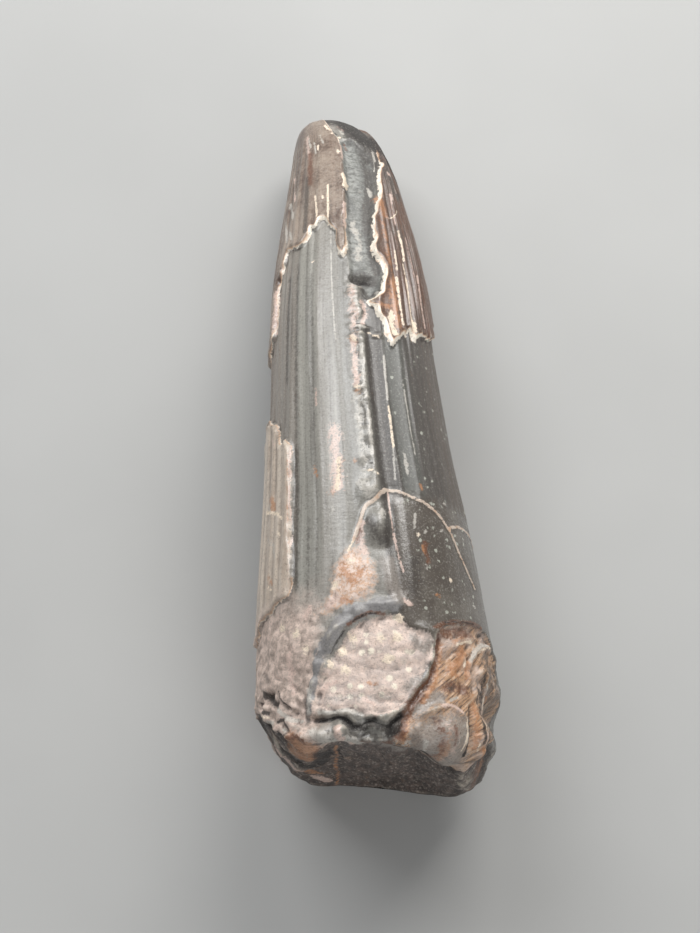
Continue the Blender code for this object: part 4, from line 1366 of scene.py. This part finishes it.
    def mesh_object(self, points: Array, fields: dict[str, Array]) -> bpy.types.Object:
        """Put the grid into a mesh.

        Args:
            points: Rows of points from the tip to the end's middle, in millimetres.
            fields: One array for each attribute, of the grid's shape.

        Returns:
            The linked object. Quads join the rows, and fans close the two ends.
        """
        rows, columns = points.shape[:2]
        tip = np.array([self.form.stations[0][1], self.form.tip_y, self.form.stations[0][3]])
        vertices = np.concatenate([points.reshape(-1, 3), [tip, points[-1].mean(axis=0)]])
        index = np.arange(rows * columns).reshape(rows, columns)
        following = np.roll(index, -1, axis=1)
        quads = np.stack([index[:-1], following[:-1], following[1:], index[1:]], axis=-1)
        tip_corner = np.full(columns, rows * columns)
        fans = np.concatenate([
            np.stack([tip_corner, following[0], index[0]], axis=-1),
            np.stack([tip_corner + 1, index[-1], following[-1]], axis=-1),
        ])
        faces = (quads.reshape(-1, 4), fans)
        mesh = make_mesh("tooth_surface", self.form.placed(vertices), faces)
        values = {
            name: np.append(part.ravel(), [part[0].mean(), part[-1].mean()])
            for name, part in fields.items()
        }
        turn = np.radians(values.pop("around"))
        for name, value in values.items():
            kept = mesh.attributes.new(name, "FLOAT", "POINT")
            kept.data.foreach_set("value", value.astype(np.float32))
        across, upward = RING_RADIUS * np.cos(turn), RING_RADIUS * np.sin(turn)
        ring = np.stack([across, vertices[:, 1], upward], axis=-1)
        places = mesh.attributes.new("ring", "FLOAT_VECTOR", "POINT")
        places.data.foreach_set("vector", ring.astype(np.float32).ravel())
        return add_object("tooth_surface", mesh)


def make_mesh(name: str, vertices: Array, face_groups: Sequence[Array]) -> bpy.types.Mesh:
    """Put arrays into a smooth-shaded mesh.

    Args:
        name: The mesh's name.
        vertices: Points in metres.
        face_groups: Arrays of vertex numbers, each with faces of one size.

    Returns:
        The mesh.
    """
    mesh = bpy.data.meshes.new(name)
    corners = np.concatenate([group.ravel() for group in face_groups]).astype(np.int32)
    sizes = np.concatenate([np.full(len(group), group.shape[1]) for group in face_groups])
    starts = np.concatenate([[0], np.cumsum(sizes)[:-1]]).astype(np.int32)
    mesh.vertices.add(len(vertices))
    mesh.vertices.foreach_set("co", vertices.astype(np.float32).ravel())
    mesh.loops.add(len(corners))
    mesh.loops.foreach_set("vertex_index", corners)
    mesh.polygons.add(len(sizes))
    mesh.polygons.foreach_set("loop_start", starts)
    mesh.update(calc_edges=True)
    mesh.shade_smooth()
    return mesh


def add_object(name: str, mesh: bpy.types.Mesh) -> bpy.types.Object:
    """Link a mesh to the scene as an object at the origin.

    Args:
        name: Its name.
        mesh: Its mesh.

    Returns:
        The object.
    """
    made = bpy.data.objects.new(name, mesh)
    bpy.context.scene.collection.objects.link(made)
    return made


def linear(red: int, green: int, blue: int) -> Colour:
    """Turn display values from 0 to 255 into linear light."""
    shares = [value / DISPLAY_WHITE for value in (red, green, blue)]
    return tuple(s / 12.92 if s <= 0.04045 else ((s + 0.055) / 1.055) ** 2.4 for s in shares)


class ShaderSheet:
    """A material's nodes, added and joined by short calls. Sizes are in millimetres.

    It also keeps the noises and the masks that several steps of a finish share, by name.
    """

    def __init__(self, name: str) -> None:
        """Start a material with a Principled BSDF.

        Args:
            name: The material's name.
        """
        self.material = bpy.data.materials.new(name)
        self.material.use_nodes = True
        self.tree = self.material.node_tree
        self.shader = self.tree.nodes["Principled BSDF"]
        self.coordinates = self.tree.nodes.new("ShaderNodeTexCoord")
        self.noises: Sockets = {}
        self.masks: Sockets = {}

    def plug(self, socket: Socket, value: Input) -> None:
        """Link or set one input.

        Args:
            socket: The input.
            value: A node's output to link, or the value to set.
        """
        if isinstance(value, Socket):
            self.tree.links.new(value, socket)
        elif isinstance(value, tuple) and socket.type == "RGBA":
            socket.default_value = (*value, 1.0)
        else:
            socket.default_value = value

    def node(self, kind: str, inputs: dict[str | int, Input], **settings: str) -> bpy.types.Node:
        """Add one node.

        Args:
            kind: Its type, without the "ShaderNode" that all of them start with.
            inputs: What each input takes, by its name or its number.
            settings: Its settings.

        Returns:
            The node.
        """
        node = self.tree.nodes.new("ShaderNode" + kind)
        for name, value in settings.items():
            setattr(node, name, value)
        for key, value in inputs.items():
            self.plug(node.inputs[key], value)
        return node

    def field(self, name: str) -> Socket:
        """Read one of the mesh's float attributes."""
        return self.node("Attribute", {}, attribute_name=name).outputs["Fac"]

    def ring(self) -> Socket:
        """Places on an even cylinder round the tooth, as the mesh keeps them."""
        return self.node("Attribute", {}, attribute_name="ring").outputs["Vector"]

    @cached_property
    def around(self) -> Socket:
        """The angle round the tooth.

        Returns:
            Degrees, worked out from the ring so that they turn over only at the seam.
        """
        parts = self.node("SeparateXYZ", {"Vector": self.ring()}).outputs
        turn = self.times(self.math("ARCTAN2", parts["Z"], parts["X"]), float(np.degrees(1.0)))
        ends = {0: turn, 1: SEAM_ANGLE + FULL_TURN, 2: SEAM_ANGLE}
        return self.node("Math", ends, operation="WRAP").outputs[0]

    def scaled(self, vector: Socket, parts: Sequence[float]) -> Socket:
        """Multiply a vector part by part."""
        node = self.node("VectorMath", {0: vector, 1: parts}, operation="MULTIPLY")
        return node.outputs["Vector"]

    def solid_place(self, size: float, tall: float = 1.0) -> Socket:
        """Object coordinates in steps of the given size, drawn out upwards by a factor."""
        step = 1.0 / (MILLIMETRE * size)
        return self.scaled(self.coordinates.outputs["Object"], (step, step, step / tall))

    def ring_place(self, across: float, along: float) -> Socket:
        """Places on the even cylinder, in steps across and along it."""
        return self.scaled(self.ring(), (1.0 / across, 1.0 / along, 1.0 / across))

    def fibre_place(self, turn: float, across: float, along: float) -> Socket:
        """Places on the unrolled surface.

        Args:
            turn: Degrees that the fibres turn.
            across: The step across the fibres, in millimetres.
            along: The step along them, in millimetres.

        Returns:
            The turned places, in those steps.
        """
        round_part = self.times(self.around, float(np.radians(RING_RADIUS)))
        flat = self.node("CombineXYZ", {"X": round_part, "Y": self.field("along")})
        turned = {"Vector": flat.outputs["Vector"], "Rotation": (0.0, 0.0, np.radians(-turn))}
        node = self.node("Mapping", turned)
        return self.scaled(node.outputs["Vector"], (1.0 / along, 1.0 / across, 1.0))

    def noise(self, place: Socket, detail: float = 3.0, rough: float = 0.55) -> Socket:
        """Noise at the given place."""
        inputs = {"Vector": place, "Scale": 1.0, "Detail": detail, "Roughness": rough}
        return self.node("TexNoise", inputs).outputs["Fac"]

    def cells(self, size: float, tall: float = 1.0) -> tuple[Socket, Socket]:
        """Cells of the given size: the distance to each one's middle, and its colour."""
        node = self.node("TexVoronoi", {"Vector": self.solid_place(size, tall), "Scale": 1.0})
        return node.outputs["Distance"], node.outputs["Color"]

    def math(self, operation: str, first: Socket | float, second: Socket | float) -> Socket:
        """One Math node."""
        return self.node("Math", {0: first, 1: second}, operation=operation).outputs[0]

    def times(self, first: Socket | float, second: Socket | float) -> Socket:
        """One number times another."""
        return self.math("MULTIPLY", first, second)

    def most(self, *values: Socket) -> Socket:
        """The largest of some numbers."""
        return reduce(partial(self.math, "MAXIMUM"), values)

    def rise(self, value: Socket, low: float, high: float, top: float = 1.0,
             way: str = "SMOOTHSTEP") -> Socket:
        """Map low to 0 and high to top, held beyond them."""
        inputs = {"Value": value, "From Min": low, "From Max": high, "To Max": top}
        return self.node("MapRange", inputs, interpolation_type=way).outputs["Result"]

    def shifted(self, value: Socket | float, noise: Socket, amount: float) -> Socket:
        """A value with noise added, up to half the amount each way."""
        return self.math("ADD", value, self.times(self.math("SUBTRACT", noise, 0.5), amount))

    def mix(self, below: Socket | Colour, above: Socket | Colour, share: Socket | float) -> Socket:
        """Blend two colours."""
        return self.node("Mix", {0: share, 6: below, 7: above}, data_type="RGBA").outputs[2]

    def layered(self, colour: Socket | Colour, *layers: tuple[Socket | Colour, Socket]) -> Socket:
        """Lay colours over one, each with its share."""
        return reduce(lambda below, layer: self.mix(below, *layer), layers, colour)

    def level(self, below: Socket | float, above: Socket | float, share: Socket) -> Socket:
        """Blend two numbers."""
        return self.node("Mix", {0: share, 2: below, 3: above}, data_type="FLOAT").outputs[0]

    def bands(self, value: Socket, stops: Sequence[tuple[float, Colour]]) -> Socket:
        """Colour bands over a value.

        Args:
            value: The value to read.
            stops: Rising values with their colours.

        Returns:
            The colours blended smoothly between stops.
        """
        first, last = stops[0][0], stops[-1][0]
        node = self.node("ValToRGB", {"Fac": self.rise(value, first, last, way="LINEAR")})
        node.color_ramp.interpolation = "EASE"
        elements = node.color_ramp.elements
        elements[0].color = (*stops[0][1], 1.0)
        elements[1].color = (*stops[-1][1], 1.0)
        for place, colour in stops[1:-1]:
            elements.new((place - first) / (last - first)).color = (*colour, 1.0)
        return node.outputs["Color"]

    def bump(self, height: Socket, strength: float, distance: float) -> Socket:
        """A bump of the given distance in millimetres."""
        inputs = {"Strength": strength, "Distance": distance * MILLIMETRE, "Height": height}
        return self.node("Bump", inputs).outputs["Normal"]


@dataclass(frozen=True)
class FossilFinish:
    """Mineralised tooth: banded grey stone, brown enamel, cream breaks and a granular root."""

    # Degrees round the tooth and the stone's colour there: its own banded tone, with painted shade
    # on the right flank and painted light on the top and the left
    stone_bands: tuple[tuple[float, Colour], ...] = (
        (-93.0, linear(112, 103, 95)), (-20.0, linear(104, 94, 86)), (30.0, linear(92, 83, 76)),
        (46.0, linear(72, 65, 59)), (56.0, linear(72, 67, 61)), (61.0, linear(88, 88, 82)),
        (70.0, linear(84, 84, 78)), (73.5, linear(64, 58, 52)), (82.0, linear(66, 61, 56)),
        (86.0, linear(132, 128, 120)), (94.0, linear(132, 129, 122)),
        (112.0, linear(152, 147, 139)), (118.0, linear(146, 143, 135)),
        (128.0, linear(154, 151, 142)), (133.0, linear(138, 131, 122)),
        (146.0, linear(146, 138, 129)), (165.0, linear(130, 118, 108)),
        (200.0, linear(104, 95, 87)), (267.0, linear(112, 103, 95)),
    )
    dark_streak_and_shade: Colour = linear(78, 72, 66)
    light_streak_and_highlight: Colour = linear(186, 182, 173)
    plate: Colour = linear(88, 80, 72)
    plate_light: Colour = linear(112, 106, 97)
    enamel_dark: Colour = linear(78, 58, 47)
    enamel_mid: Colour = linear(104, 82, 69)
    enamel_tan: Colour = linear(180, 163, 147)
    enamel_red: Colour = linear(98, 63, 43)
    low_tan: Colour = linear(222, 206, 188)
    trough_grey: Colour = linear(150, 151, 146)
    trough_dark_and_shadow: Colour = linear(98, 98, 94)
    grain_pink: Colour = linear(230, 207, 193)
    grain_cream: Colour = linear(250, 238, 218)
    grain_mauve: Colour = linear(198, 180, 170)
    crest_grey: Colour = linear(134, 131, 130)
    root_brown: Colour = linear(184, 164, 151)
    wedge_brown: Colour = linear(196, 154, 118)
    wedge_light: Colour = linear(230, 206, 180)
    wedge_dark: Colour = linear(84, 64, 50)
    torn_black: Colour = linear(62, 50, 44)
    torn_brown: Colour = linear(100, 83, 74)
    torn_grey: Colour = linear(176, 162, 151)
    crack_fill: Colour = linear(216, 196, 178)
    edge_cream: Colour = linear(248, 238, 222)
    edge_tan: Colour = linear(208, 162, 124)
    speck: Colour = linear(196, 198, 184)
    dirt_and_dip_shade: Colour = linear(34, 25, 21)
    tint_depth: float = 0.76
    fibre_turn: float = FIBRE_TURN
    index_of_refraction: float = 1.6
    specular_level: float = 0.75
    bump_strength: float = 0.7
    bump_distance: float = 0.06
    # How rough each region is, laid over each other in this order
    roughness: tuple[tuple[str, float], ...] = (
        ("plate", 0.24), ("trough", 0.60), ("root", 0.62), ("hollow", 0.66), ("rusty", 0.60),
        ("wedge", 0.42), ("crest", 0.45), ("torn", 0.50),
    )
    # Each deposit's colour, how much noise breaks it up, how soft its edge is, and its cover
    tints: tuple[tuple[Pigment, Colour, float, float, float], ...] = (
        (Pigment.SHADE, linear(66, 59, 53), 1.3, 0.5, 0.75),
        (Pigment.GREY, linear(150, 141, 133), 1.4, 0.4, 0.85),
        (Pigment.PALE, linear(206, 200, 190), 2.0, 0.3, 0.8),
        (Pigment.ORANGE, linear(194, 134, 88), 2.2, 0.5, 0.75),
        (Pigment.PINK, linear(226, 198, 184), 2.0, 0.3, 0.85),
        (Pigment.RUST, linear(116, 74, 50), 2.0, 0.5, 0.85),
        (Pigment.CREAM, linear(253, 234, 210), 1.8, 0.25, 0.95),
        (Pigment.BLACK, linear(30, 22, 18), 1.2, 0.4, 0.9),
    )

    def build(self) -> bpy.types.Material:
        """Lay the colours over each other, from the stone up to the deposits.

        Returns:
            The material.
        """
        s = ShaderSheet("mineralised_tooth")
        s.noises = {
            "streaks": s.noise(s.ring_place(0.32, 9.0), 4.0, 0.6),
            "dashes": s.noise(s.ring_place(0.14, 1.2), 3.0, 0.6),
            "mottle": s.noise(s.solid_place(1.5), 4.0, 0.6),
            "lumps": s.noise(s.solid_place(0.42), 3.0, 0.6),
            "ragged": s.noise(s.solid_place(0.14), 3.0, 0.6),
            "grit": s.noise(s.solid_place(0.055), 2.0, 0.6),
            "dust": s.noise(s.solid_place(0.085), 1.0, 0.5),
            "clumps": s.noise(s.solid_place(0.34, 1.8), 5.0, 0.72),
        }
        s.noises["breakup"] = s.level(s.noises["ragged"], s.noises["lumps"], 0.4)
        s.noises["wrinkles"] = s.noise(s.fibre_place(3.0, 0.17, 0.6), 3.0, 0.6)
        s.masks = self.masks(s)
        colour = self.stone(s)
        colour = self.crown(s, colour)
        colour = self.root(s, colour)
        colour = self.deposits(s, colour)
        s.plug(s.shader.inputs["Base Color"], colour)
        self.surface(s)
        return s.material

    def masks(self, s: ShaderSheet) -> Sockets:
        """Ragged masks of the regions, from their signed distances.

        Args:
            s: The node sheet.

        Returns:
            The masks, each from 0 to 1.
        """
        ragged, lumps = s.noises["ragged"], s.noises["lumps"]
        edge = s.shifted(s.shifted(s.field("enamel"), ragged, 0.22), lumps, 0.2)
        rim_left = s.math("SUBTRACT", s.times(s.field("edge"), 0.5), edge)
        rim_left = s.shifted(rim_left, s.noises["breakup"], 0.4)
        rim = s.times(s.rise(edge, -0.05, -0.01), s.rise(rim_left, 0.0, 0.05))
        below_crack = s.rise(s.field("along"), -4.7, -5.5)
        wavy_angle = s.shifted(s.around, lumps, 8.0)
        on_right = s.times(s.rise(s.around, 81.5, 77.5), s.rise(wavy_angle, -84.0, -58.0))
        left = s.times(s.rise(wavy_angle, 110.0, 122.0), s.rise(wavy_angle, 258.0, 232.0))
        low = s.rise(s.shifted(s.field("along"), s.noises["mottle"], 2.6), -8.6, -10.4)
        rusty = s.shifted(s.shifted(s.field("rusty"), ragged, 0.5), lumps, 0.6)
        hollow = s.shifted(s.shifted(s.field("hollow"), ragged, 0.25), lumps, 0.3)
        crest = s.shifted(s.shifted(s.field("crest"), ragged, 0.5), lumps, 0.6)
        return {
            "enamel": s.rise(edge, -0.03, 0.02),
            "rim": s.times(rim, s.rise(s.field("edge"), 0.01, 0.06)),
            "rim_deep": s.rise(rim_left, 0.01, 0.10),
            "trough": s.rise(s.shifted(s.field("trough"), ragged, 0.2), -0.05, 0.05),
            "plate": s.times(below_crack, on_right),
            "root": s.times(left, low),
            "hollow": s.rise(hollow, -0.04, 0.1),
            "rusty": s.rise(rusty, -0.15, 0.25),
            "wedge": s.rise(s.shifted(s.field("wedge"), ragged, 0.25), -0.04, 0.06),
            "crest": s.rise(crest, 0.38, 0.2),
            "torn": s.rise(s.shifted(s.field("torn"), ragged, 0.35), -0.12, 0.02),
        }

    def stone(self, s: ShaderSheet) -> Socket:
        """The bare stone: soft bands round the tooth, long faint streaks, and the smooth plate,
        with painted light and shade in the bands and on the flutes.

        Args:
            s: The node sheet.

        Returns:
            The stone's colour.
        """
        streaks, dashes, ragged = s.noises["streaks"], s.noises["dashes"], s.noises["ragged"]
        lit = s.times(s.rise(s.around, 74.0, 92.0), s.rise(s.around, 264.0, 225.0))
        ridge = s.shifted(s.field("flute"), dashes, 1.0)
        plate = s.layered(
            self.plate, (self.plate_light, s.rise(s.noises["mottle"], 0.45, 0.68, 0.8)),
            (self.dark_streak_and_shade, s.rise(ragged, 0.52, 0.66, 0.3)),
        )
        distance, cell = s.cells(0.36)
        specks = s.rise(s.shifted(distance, ragged, 0.6), 0.26, 0.12)
        specks = s.times(s.rise(cell, 0.52, 0.57), specks)
        right = s.times(s.rise(s.around, 78.0, 66.0, 0.7), s.rise(s.around, -90.0, -60.0))
        # Light streaks only on the lit top and left, partly a painted sheen; flute ridges lighter,
        # a painted highlight, and their valleys darker, partly painted shade
        return s.layered(
            s.bands(s.shifted(s.around, streaks, 7.0), self.stone_bands),
            (self.dark_streak_and_shade, s.rise(streaks, 0.50, 0.32, 0.45)),
            (self.light_streak_and_highlight, s.times(s.rise(streaks, 0.52, 0.72, 0.40), lit)),
            (self.light_streak_and_highlight, s.rise(ridge, 0.55, 1.6, 0.26)),
            (self.dark_streak_and_shade, s.rise(ridge, -0.4, -1.5, 0.36)),
            (plate, s.masks["plate"]), (self.speck, s.times(specks, right)),
        )

    def crown(self, s: ShaderSheet, colour: Socket) -> Socket:
        """Brown enamel with tan patches and fine lines, and the matte trough, with painted
        highlights and shade on the flutes and a painted shadow along the trough's right side.

        Args:
            s: The node sheet.
            colour: The colour so far.

        Returns:
            The colour with the crown laid over it.
        """
        streaks, mottle, lumps = s.noises["streaks"], s.noises["mottle"], s.noises["lumps"]
        ragged = s.noises["ragged"]
        left = s.rise(s.around, 88.0, 96.0)
        tan = s.rise(s.shifted(mottle, ragged, 0.5), 0.28, 0.68, 0.8)
        reddish = s.times(s.rise(s.around, 82.0, 74.0, 0.85), s.rise(mottle, 0.30, 0.62))
        low_plate = s.times(left, s.rise(s.field("along"), -0.4, -1.4, 0.9))
        browner = s.rise(s.shifted(streaks, lumps, 0.6), 0.36, 0.66, 0.75)
        ridge = s.shifted(s.field("flute"), s.noises["dashes"], 1.3)
        # Lighter on the flute ridges, a painted highlight, and darker in their valleys, partly dark
        # lines and partly painted shade
        ridge_highlight = s.mix(self.grain_mauve, self.enamel_tan, left)
        lines = s.times(s.rise(ridge, 0.1, -0.9, 0.8), s.level(1.0, 0.45, low_plate))
        brown = s.layered(
            self.enamel_dark, (self.enamel_mid, s.rise(streaks, 0.36, 0.60)),
            (self.enamel_tan, s.times(tan, left)), (self.enamel_red, reddish),
            (s.mix(self.low_tan, self.enamel_tan, browner), low_plate),
            (ridge_highlight, s.rise(ridge, 0.85, 1.5, 0.7)), (self.enamel_dark, lines),
            (self.dirt_and_dip_shade, s.rise(ragged, 0.60, 0.74, 0.35)),
        )
        matte = s.layered(
            self.trough_dark_and_shadow, (self.trough_grey, s.rise(s.noises["wrinkles"], 0.34, 0.60)),
            (self.trough_dark_and_shadow, s.rise(s.shifted(mottle, ragged, 0.4), 0.48, 0.62, 0.5)),
            # Darker towards the trough's right side: a painted shadow
            (self.trough_dark_and_shadow, s.rise(s.shifted(s.around, lumps, 12.0), 80.0, 68.0, 0.8)),
        )
        return s.layered(colour, (brown, s.masks["enamel"]), (matte, s.masks["trough"]))

    def root(self, s: ShaderSheet, colour: Socket) -> Socket:
        """The grainy root, the hollow, the rusty patch, the wedge, the crest and the torn end.

        Args:
            s: The node sheet.
            colour: The colour so far.

        Returns:
            The colour with the root laid over it.
        """
        mottle, lumps, ragged = s.noises["mottle"], s.noises["lumps"], s.noises["ragged"]
        clumps = s.noises["clumps"]
        distance, cell = s.cells(0.36)
        grains = s.layered(
            self.grain_mauve, (self.grain_pink, s.rise(lumps, 0.38, 0.58)),
            (self.grain_cream, s.times(s.rise(cell, 0.55, 0.75), s.rise(distance, 0.5, 0.25))),
            (self.grain_mauve, s.rise(distance, 0.55, 0.80, 0.4)),
            (self.dirt_and_dip_shade, s.rise(ragged, 0.62, 0.74, 0.14)),
        )
        crust = s.layered(
            self.root_brown, (self.grain_pink, s.rise(s.shifted(lumps, ragged, 0.3), 0.38, 0.66)),
            (self.dark_streak_and_shade, s.rise(s.shifted(lumps, ragged, 0.6), 0.42, 0.28, 0.34)),
        )
        rust = s.layered(
            self.grain_pink, (self.edge_tan, s.rise(ragged, 0.42, 0.60, 0.7)),
            (self.grain_mauve, s.rise(lumps, 0.50, 0.65, 0.6)),
        )
        fibres = s.noise(s.fibre_place(self.fibre_turn, 0.09, 1.1), 4.0, 0.6)
        wood = s.layered(
            self.wedge_dark, (self.wedge_brown, s.rise(fibres, 0.34, 0.54)),
            (self.wedge_light, s.rise(fibres, 0.54, 0.70, 0.8)),
            (self.grain_mauve, s.rise(mottle, 0.46, 0.64, 0.7)),
        )
        distance, cell = s.cells(0.12, 1.8)
        flecks = s.rise(s.shifted(cell, clumps, 0.8), 0.44, 0.66)
        torn = s.layered(
            self.torn_black, (self.torn_brown, s.rise(clumps, 0.42, 0.62)),
            (self.torn_grey, s.times(flecks, s.rise(distance, 0.6, 0.2, 0.6))),
            (self.wedge_brown, s.rise(mottle, 0.60, 0.74, 0.35)),
        )
        return s.layered(
            colour, (crust, s.masks["root"]), (grains, s.masks["hollow"]),
            (rust, s.masks["rusty"]), (wood, s.masks["wedge"]),
            (self.crest_grey, s.masks["crest"]), (torn, s.masks["torn"]),
        )

    def deposits(self, s: ShaderSheet, colour: Socket) -> Socket:
        """Dirt and painted shade in dips, wear and painted highlights on rises, the pigments, the
        enamel's light edge and the cracks.

        Args:
            s: The node sheet.
            colour: The colour so far.

        Returns:
            The colour with the deposits laid over it.
        """
        ragged, breakup, grit = s.noises["ragged"], s.noises["breakup"], s.noises["grit"]
        height_above_neighbours, dust = s.field("height_above_neighbours"), s.noises["dust"]
        # Darker in dips, partly dirt and partly painted shade; lighter on rises, partly wear and
        # partly a painted highlight
        colour = s.layered(
            colour, (self.dirt_and_dip_shade, s.rise(s.shifted(height_above_neighbours, grit, 0.02), -0.012, -0.07, 0.7)),
            (self.grain_cream, s.rise(s.shifted(height_above_neighbours, grit, 0.03), 0.025, 0.09, 0.34)),
        )
        for pigment, tint, rough, soft, most in self.tints:
            cover = s.shifted(s.field(pigment.value), breakup, rough)
            darker = tuple(self.tint_depth * part for part in tint)
            tone = s.mix(tint, darker, s.rise(ragged, 0.48, 0.68))
            colour = s.mix(colour, tone, s.rise(cover, 0.5 - soft / 2, 0.5 + soft / 2, most))
        light_edge = s.layered(
            self.edge_tan, (self.edge_cream, s.masks["rim_deep"]),
            (self.edge_tan, s.rise(breakup, 0.54, 0.66, 0.6)),
        )
        crack = s.rise(s.shifted(s.field("crack"), breakup, 0.16), 0.085, 0.055, 0.9)
        fill = s.mix(self.crack_fill, self.edge_tan, s.rise(s.noises["lumps"], 0.50, 0.64, 0.6))
        return s.layered(
            colour, (light_edge, s.masks["rim"]), (fill, crack),
            (self.dark_streak_and_shade, s.rise(dust, 0.54, 0.72, 0.34)),
            (self.light_streak_and_highlight, s.rise(dust, 0.46, 0.28, 0.22)),
        )

    def surface(self, s: ShaderSheet) -> None:
        """Set gloss and fine bump.

        Args:
            s: The node sheet.
        """
        rough = s.level(0.34, 0.46, s.rise(s.around, 84.0, 76.0))
        rough = s.level(rough, 0.32, s.masks["enamel"])
        for name, value in self.roughness:
            rough = s.level(rough, value, s.masks[name])
        rough = s.level(rough, 0.30, s.rise(s.field("grey"), 0.3, 0.7))
        rough = s.level(rough, 0.70, s.rise(s.field("cream"), 0.4, 0.6))
        rough = s.level(rough, 0.80, s.rise(s.field("black"), 0.3, 0.6))
        s.plug(s.shader.inputs["Roughness"], s.shifted(rough, s.noises["ragged"], 0.2))
        fine = s.math("ADD", s.times(s.noises["grit"], 0.4), s.times(s.noises["ragged"], 0.6))
        rough_names = ("hollow", "trough", "torn", "root", "wedge")
        matte = s.most(*(s.masks[name] for name in rough_names))
        amount = s.level(0.30, 1.1, matte)
        streaks, clumps = s.times(s.noises["streaks"], 0.25), s.times(s.noises["clumps"], 3.2)
        grain = s.level(streaks, clumps, s.masks["torn"])
        wrinkled = s.level(0.26, 0.0, s.most(matte, s.masks["plate"]))
        grain = s.math("ADD", grain, s.times(s.noises["wrinkles"], wrinkled))
        height = s.math("ADD", s.times(fine, amount), grain)
        bump = s.bump(height, self.bump_strength, self.bump_distance)
        s.plug(s.shader.inputs["Normal"], bump)
        s.shader.inputs["IOR"].default_value = self.index_of_refraction
        s.shader.inputs["Specular IOR Level"].default_value = self.specular_level


@dataclass(frozen=True)
class PlainFinish:
    """A matte surface with a faint mottling, for the floor."""

    tint: Colour = linear(190, 190, 188)

    def build(self) -> bpy.types.Material:
        """Make the floor's material.

        Returns:
            The material.
        """
        s = ShaderSheet("studio_floor")
        cloud = s.noise(s.solid_place(14.0), 3.0, 0.5)
        darker = tuple(0.95 * part for part in self.tint)
        s.plug(s.shader.inputs["Base Color"], s.mix(darker, self.tint, s.rise(cloud, 0.3, 0.7)))
        s.shader.inputs["Roughness"].default_value = 0.75
        return s.material


@dataclass
class Studio:
    """Floor, camera and soft lights, in millimetres in the frame but the view's end in metres."""

    camera_target: Triple = (-1.255, -1.77, 4.0)
    camera_elevation: float = 73.0
    camera_distance: float = 79.0
    field_of_view: float = 30.0
    floor_size: float = 900.0
    view_end: float = 10.0
    surrounding_light: float = 0.25

    def floor(self) -> None:
        """Add the pale floor as a flat square."""
        half = self.floor_size / 2 * MILLIMETRE
        corners = half * np.array([[-1, -1, 0], [1, -1, 0], [1, 1, 0], [-1, 1, 0]])
        mesh = make_mesh("studio_floor", corners, (np.array([[0, 1, 2, 3]]),))
        made = add_object("studio_floor", mesh)
        made.data.materials.append(PlainFinish().build())

    def camera(self) -> None:
        """Set the camera at the photograph's height and distance."""
        data = bpy.data.cameras.new("camera")
        data.sensor_width = SENSOR_WIDTH
        data.lens = data.sensor_width / 2 / np.tan(np.radians(self.field_of_view / 2))
        data.clip_start = MILLIMETRE
        data.clip_end = self.view_end
        camera = bpy.data.objects.new("camera", data)
        lift = np.radians(self.camera_elevation)
        back = Vector((0.0, -np.cos(lift), np.sin(lift)))
        target = Vector(self.camera_target) * MILLIMETRE
        camera.location = target + back * self.camera_distance * MILLIMETRE
        camera.rotation_mode = "QUATERNION"
        camera.rotation_quaternion = (-back).to_track_quat("-Z", "Y")
        bpy.context.scene.collection.objects.link(camera)
        bpy.context.scene.camera = camera

    @staticmethod
    def lamp(name: str, place: Triple, size: float, power: float, tint: Colour) -> None:
        """Add one square soft lamp that faces the tooth.

        Args:
            name: The lamp's name.
            place: Where it stands, in millimetres.
            size: Its side, in millimetres.
            power: Its power in watts.
            tint: Its colour.
        """
        data = bpy.data.lights.new(name, "AREA")
        data.size = size * MILLIMETRE
        data.energy = power
        data.color = tint
        lamp = bpy.data.objects.new(name, data)
        lamp.location = Vector(place) * MILLIMETRE
        lamp.rotation_mode = "QUATERNION"
        lamp.rotation_quaternion = (-Vector(place)).to_track_quat("-Z", "Y")
        bpy.context.scene.collection.objects.link(lamp)

    def lights(self) -> None:
        """Add the soft lamps and the even surrounding light."""
        self.lamp("key", (36.0, 84.0, 82.0), 70.0, 0.110, (1.0, 0.99, 0.97))
        self.lamp("sheen", (-70.0, 95.0, 120.0), 90.0, 0.150, (0.98, 0.99, 1.0))
        self.lamp("fill", (75.0, -108.0, 75.0), 90.0, 0.046, (1.0, 0.99, 0.97))
        world = bpy.data.worlds.new("surroundings")
        world.use_nodes = True
        background = world.node_tree.nodes["Background"]
        background.inputs["Color"].default_value = (0.95, 0.97, 1.0, 1.0)
        background.inputs["Strength"].default_value = self.surrounding_light
        bpy.context.scene.world = world

    def build(self) -> None:
        """Set up the whole studio."""
        self.floor()
        self.camera()
        self.lights()
        bpy.context.scene.view_settings.view_transform = "Standard"


def fasten(piece: bpy.types.Object, material: bpy.types.Material) -> None:
    """Give a piece its finish and tie it to the solid that it stands for.

    Args:
        piece: The piece.
        material: Its finish.
    """
    piece.data.materials.append(material)
    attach(piece, "root")
    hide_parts(NODE)
    mesh = piece.data
    LOG.info("%s: %d vertices, %d faces", piece.name, len(mesh.vertices), len(mesh.polygons))


def main() -> None:
    """Build the studio and the tooth."""
    logging.basicConfig(level=logging.INFO, format="%(message)s")
    Studio().build()
    kinds = (Enamel, Flutes, Trough, CuttingEdges, Cracks, RustPatch, Hollow, Wedge, Rim)
    surface = ToothSurface(ToothForm(), tuple(kind() for kind in kinds))
    fasten(surface.build(), FossilFinish().build())


if __name__ == "__main__":
    main()
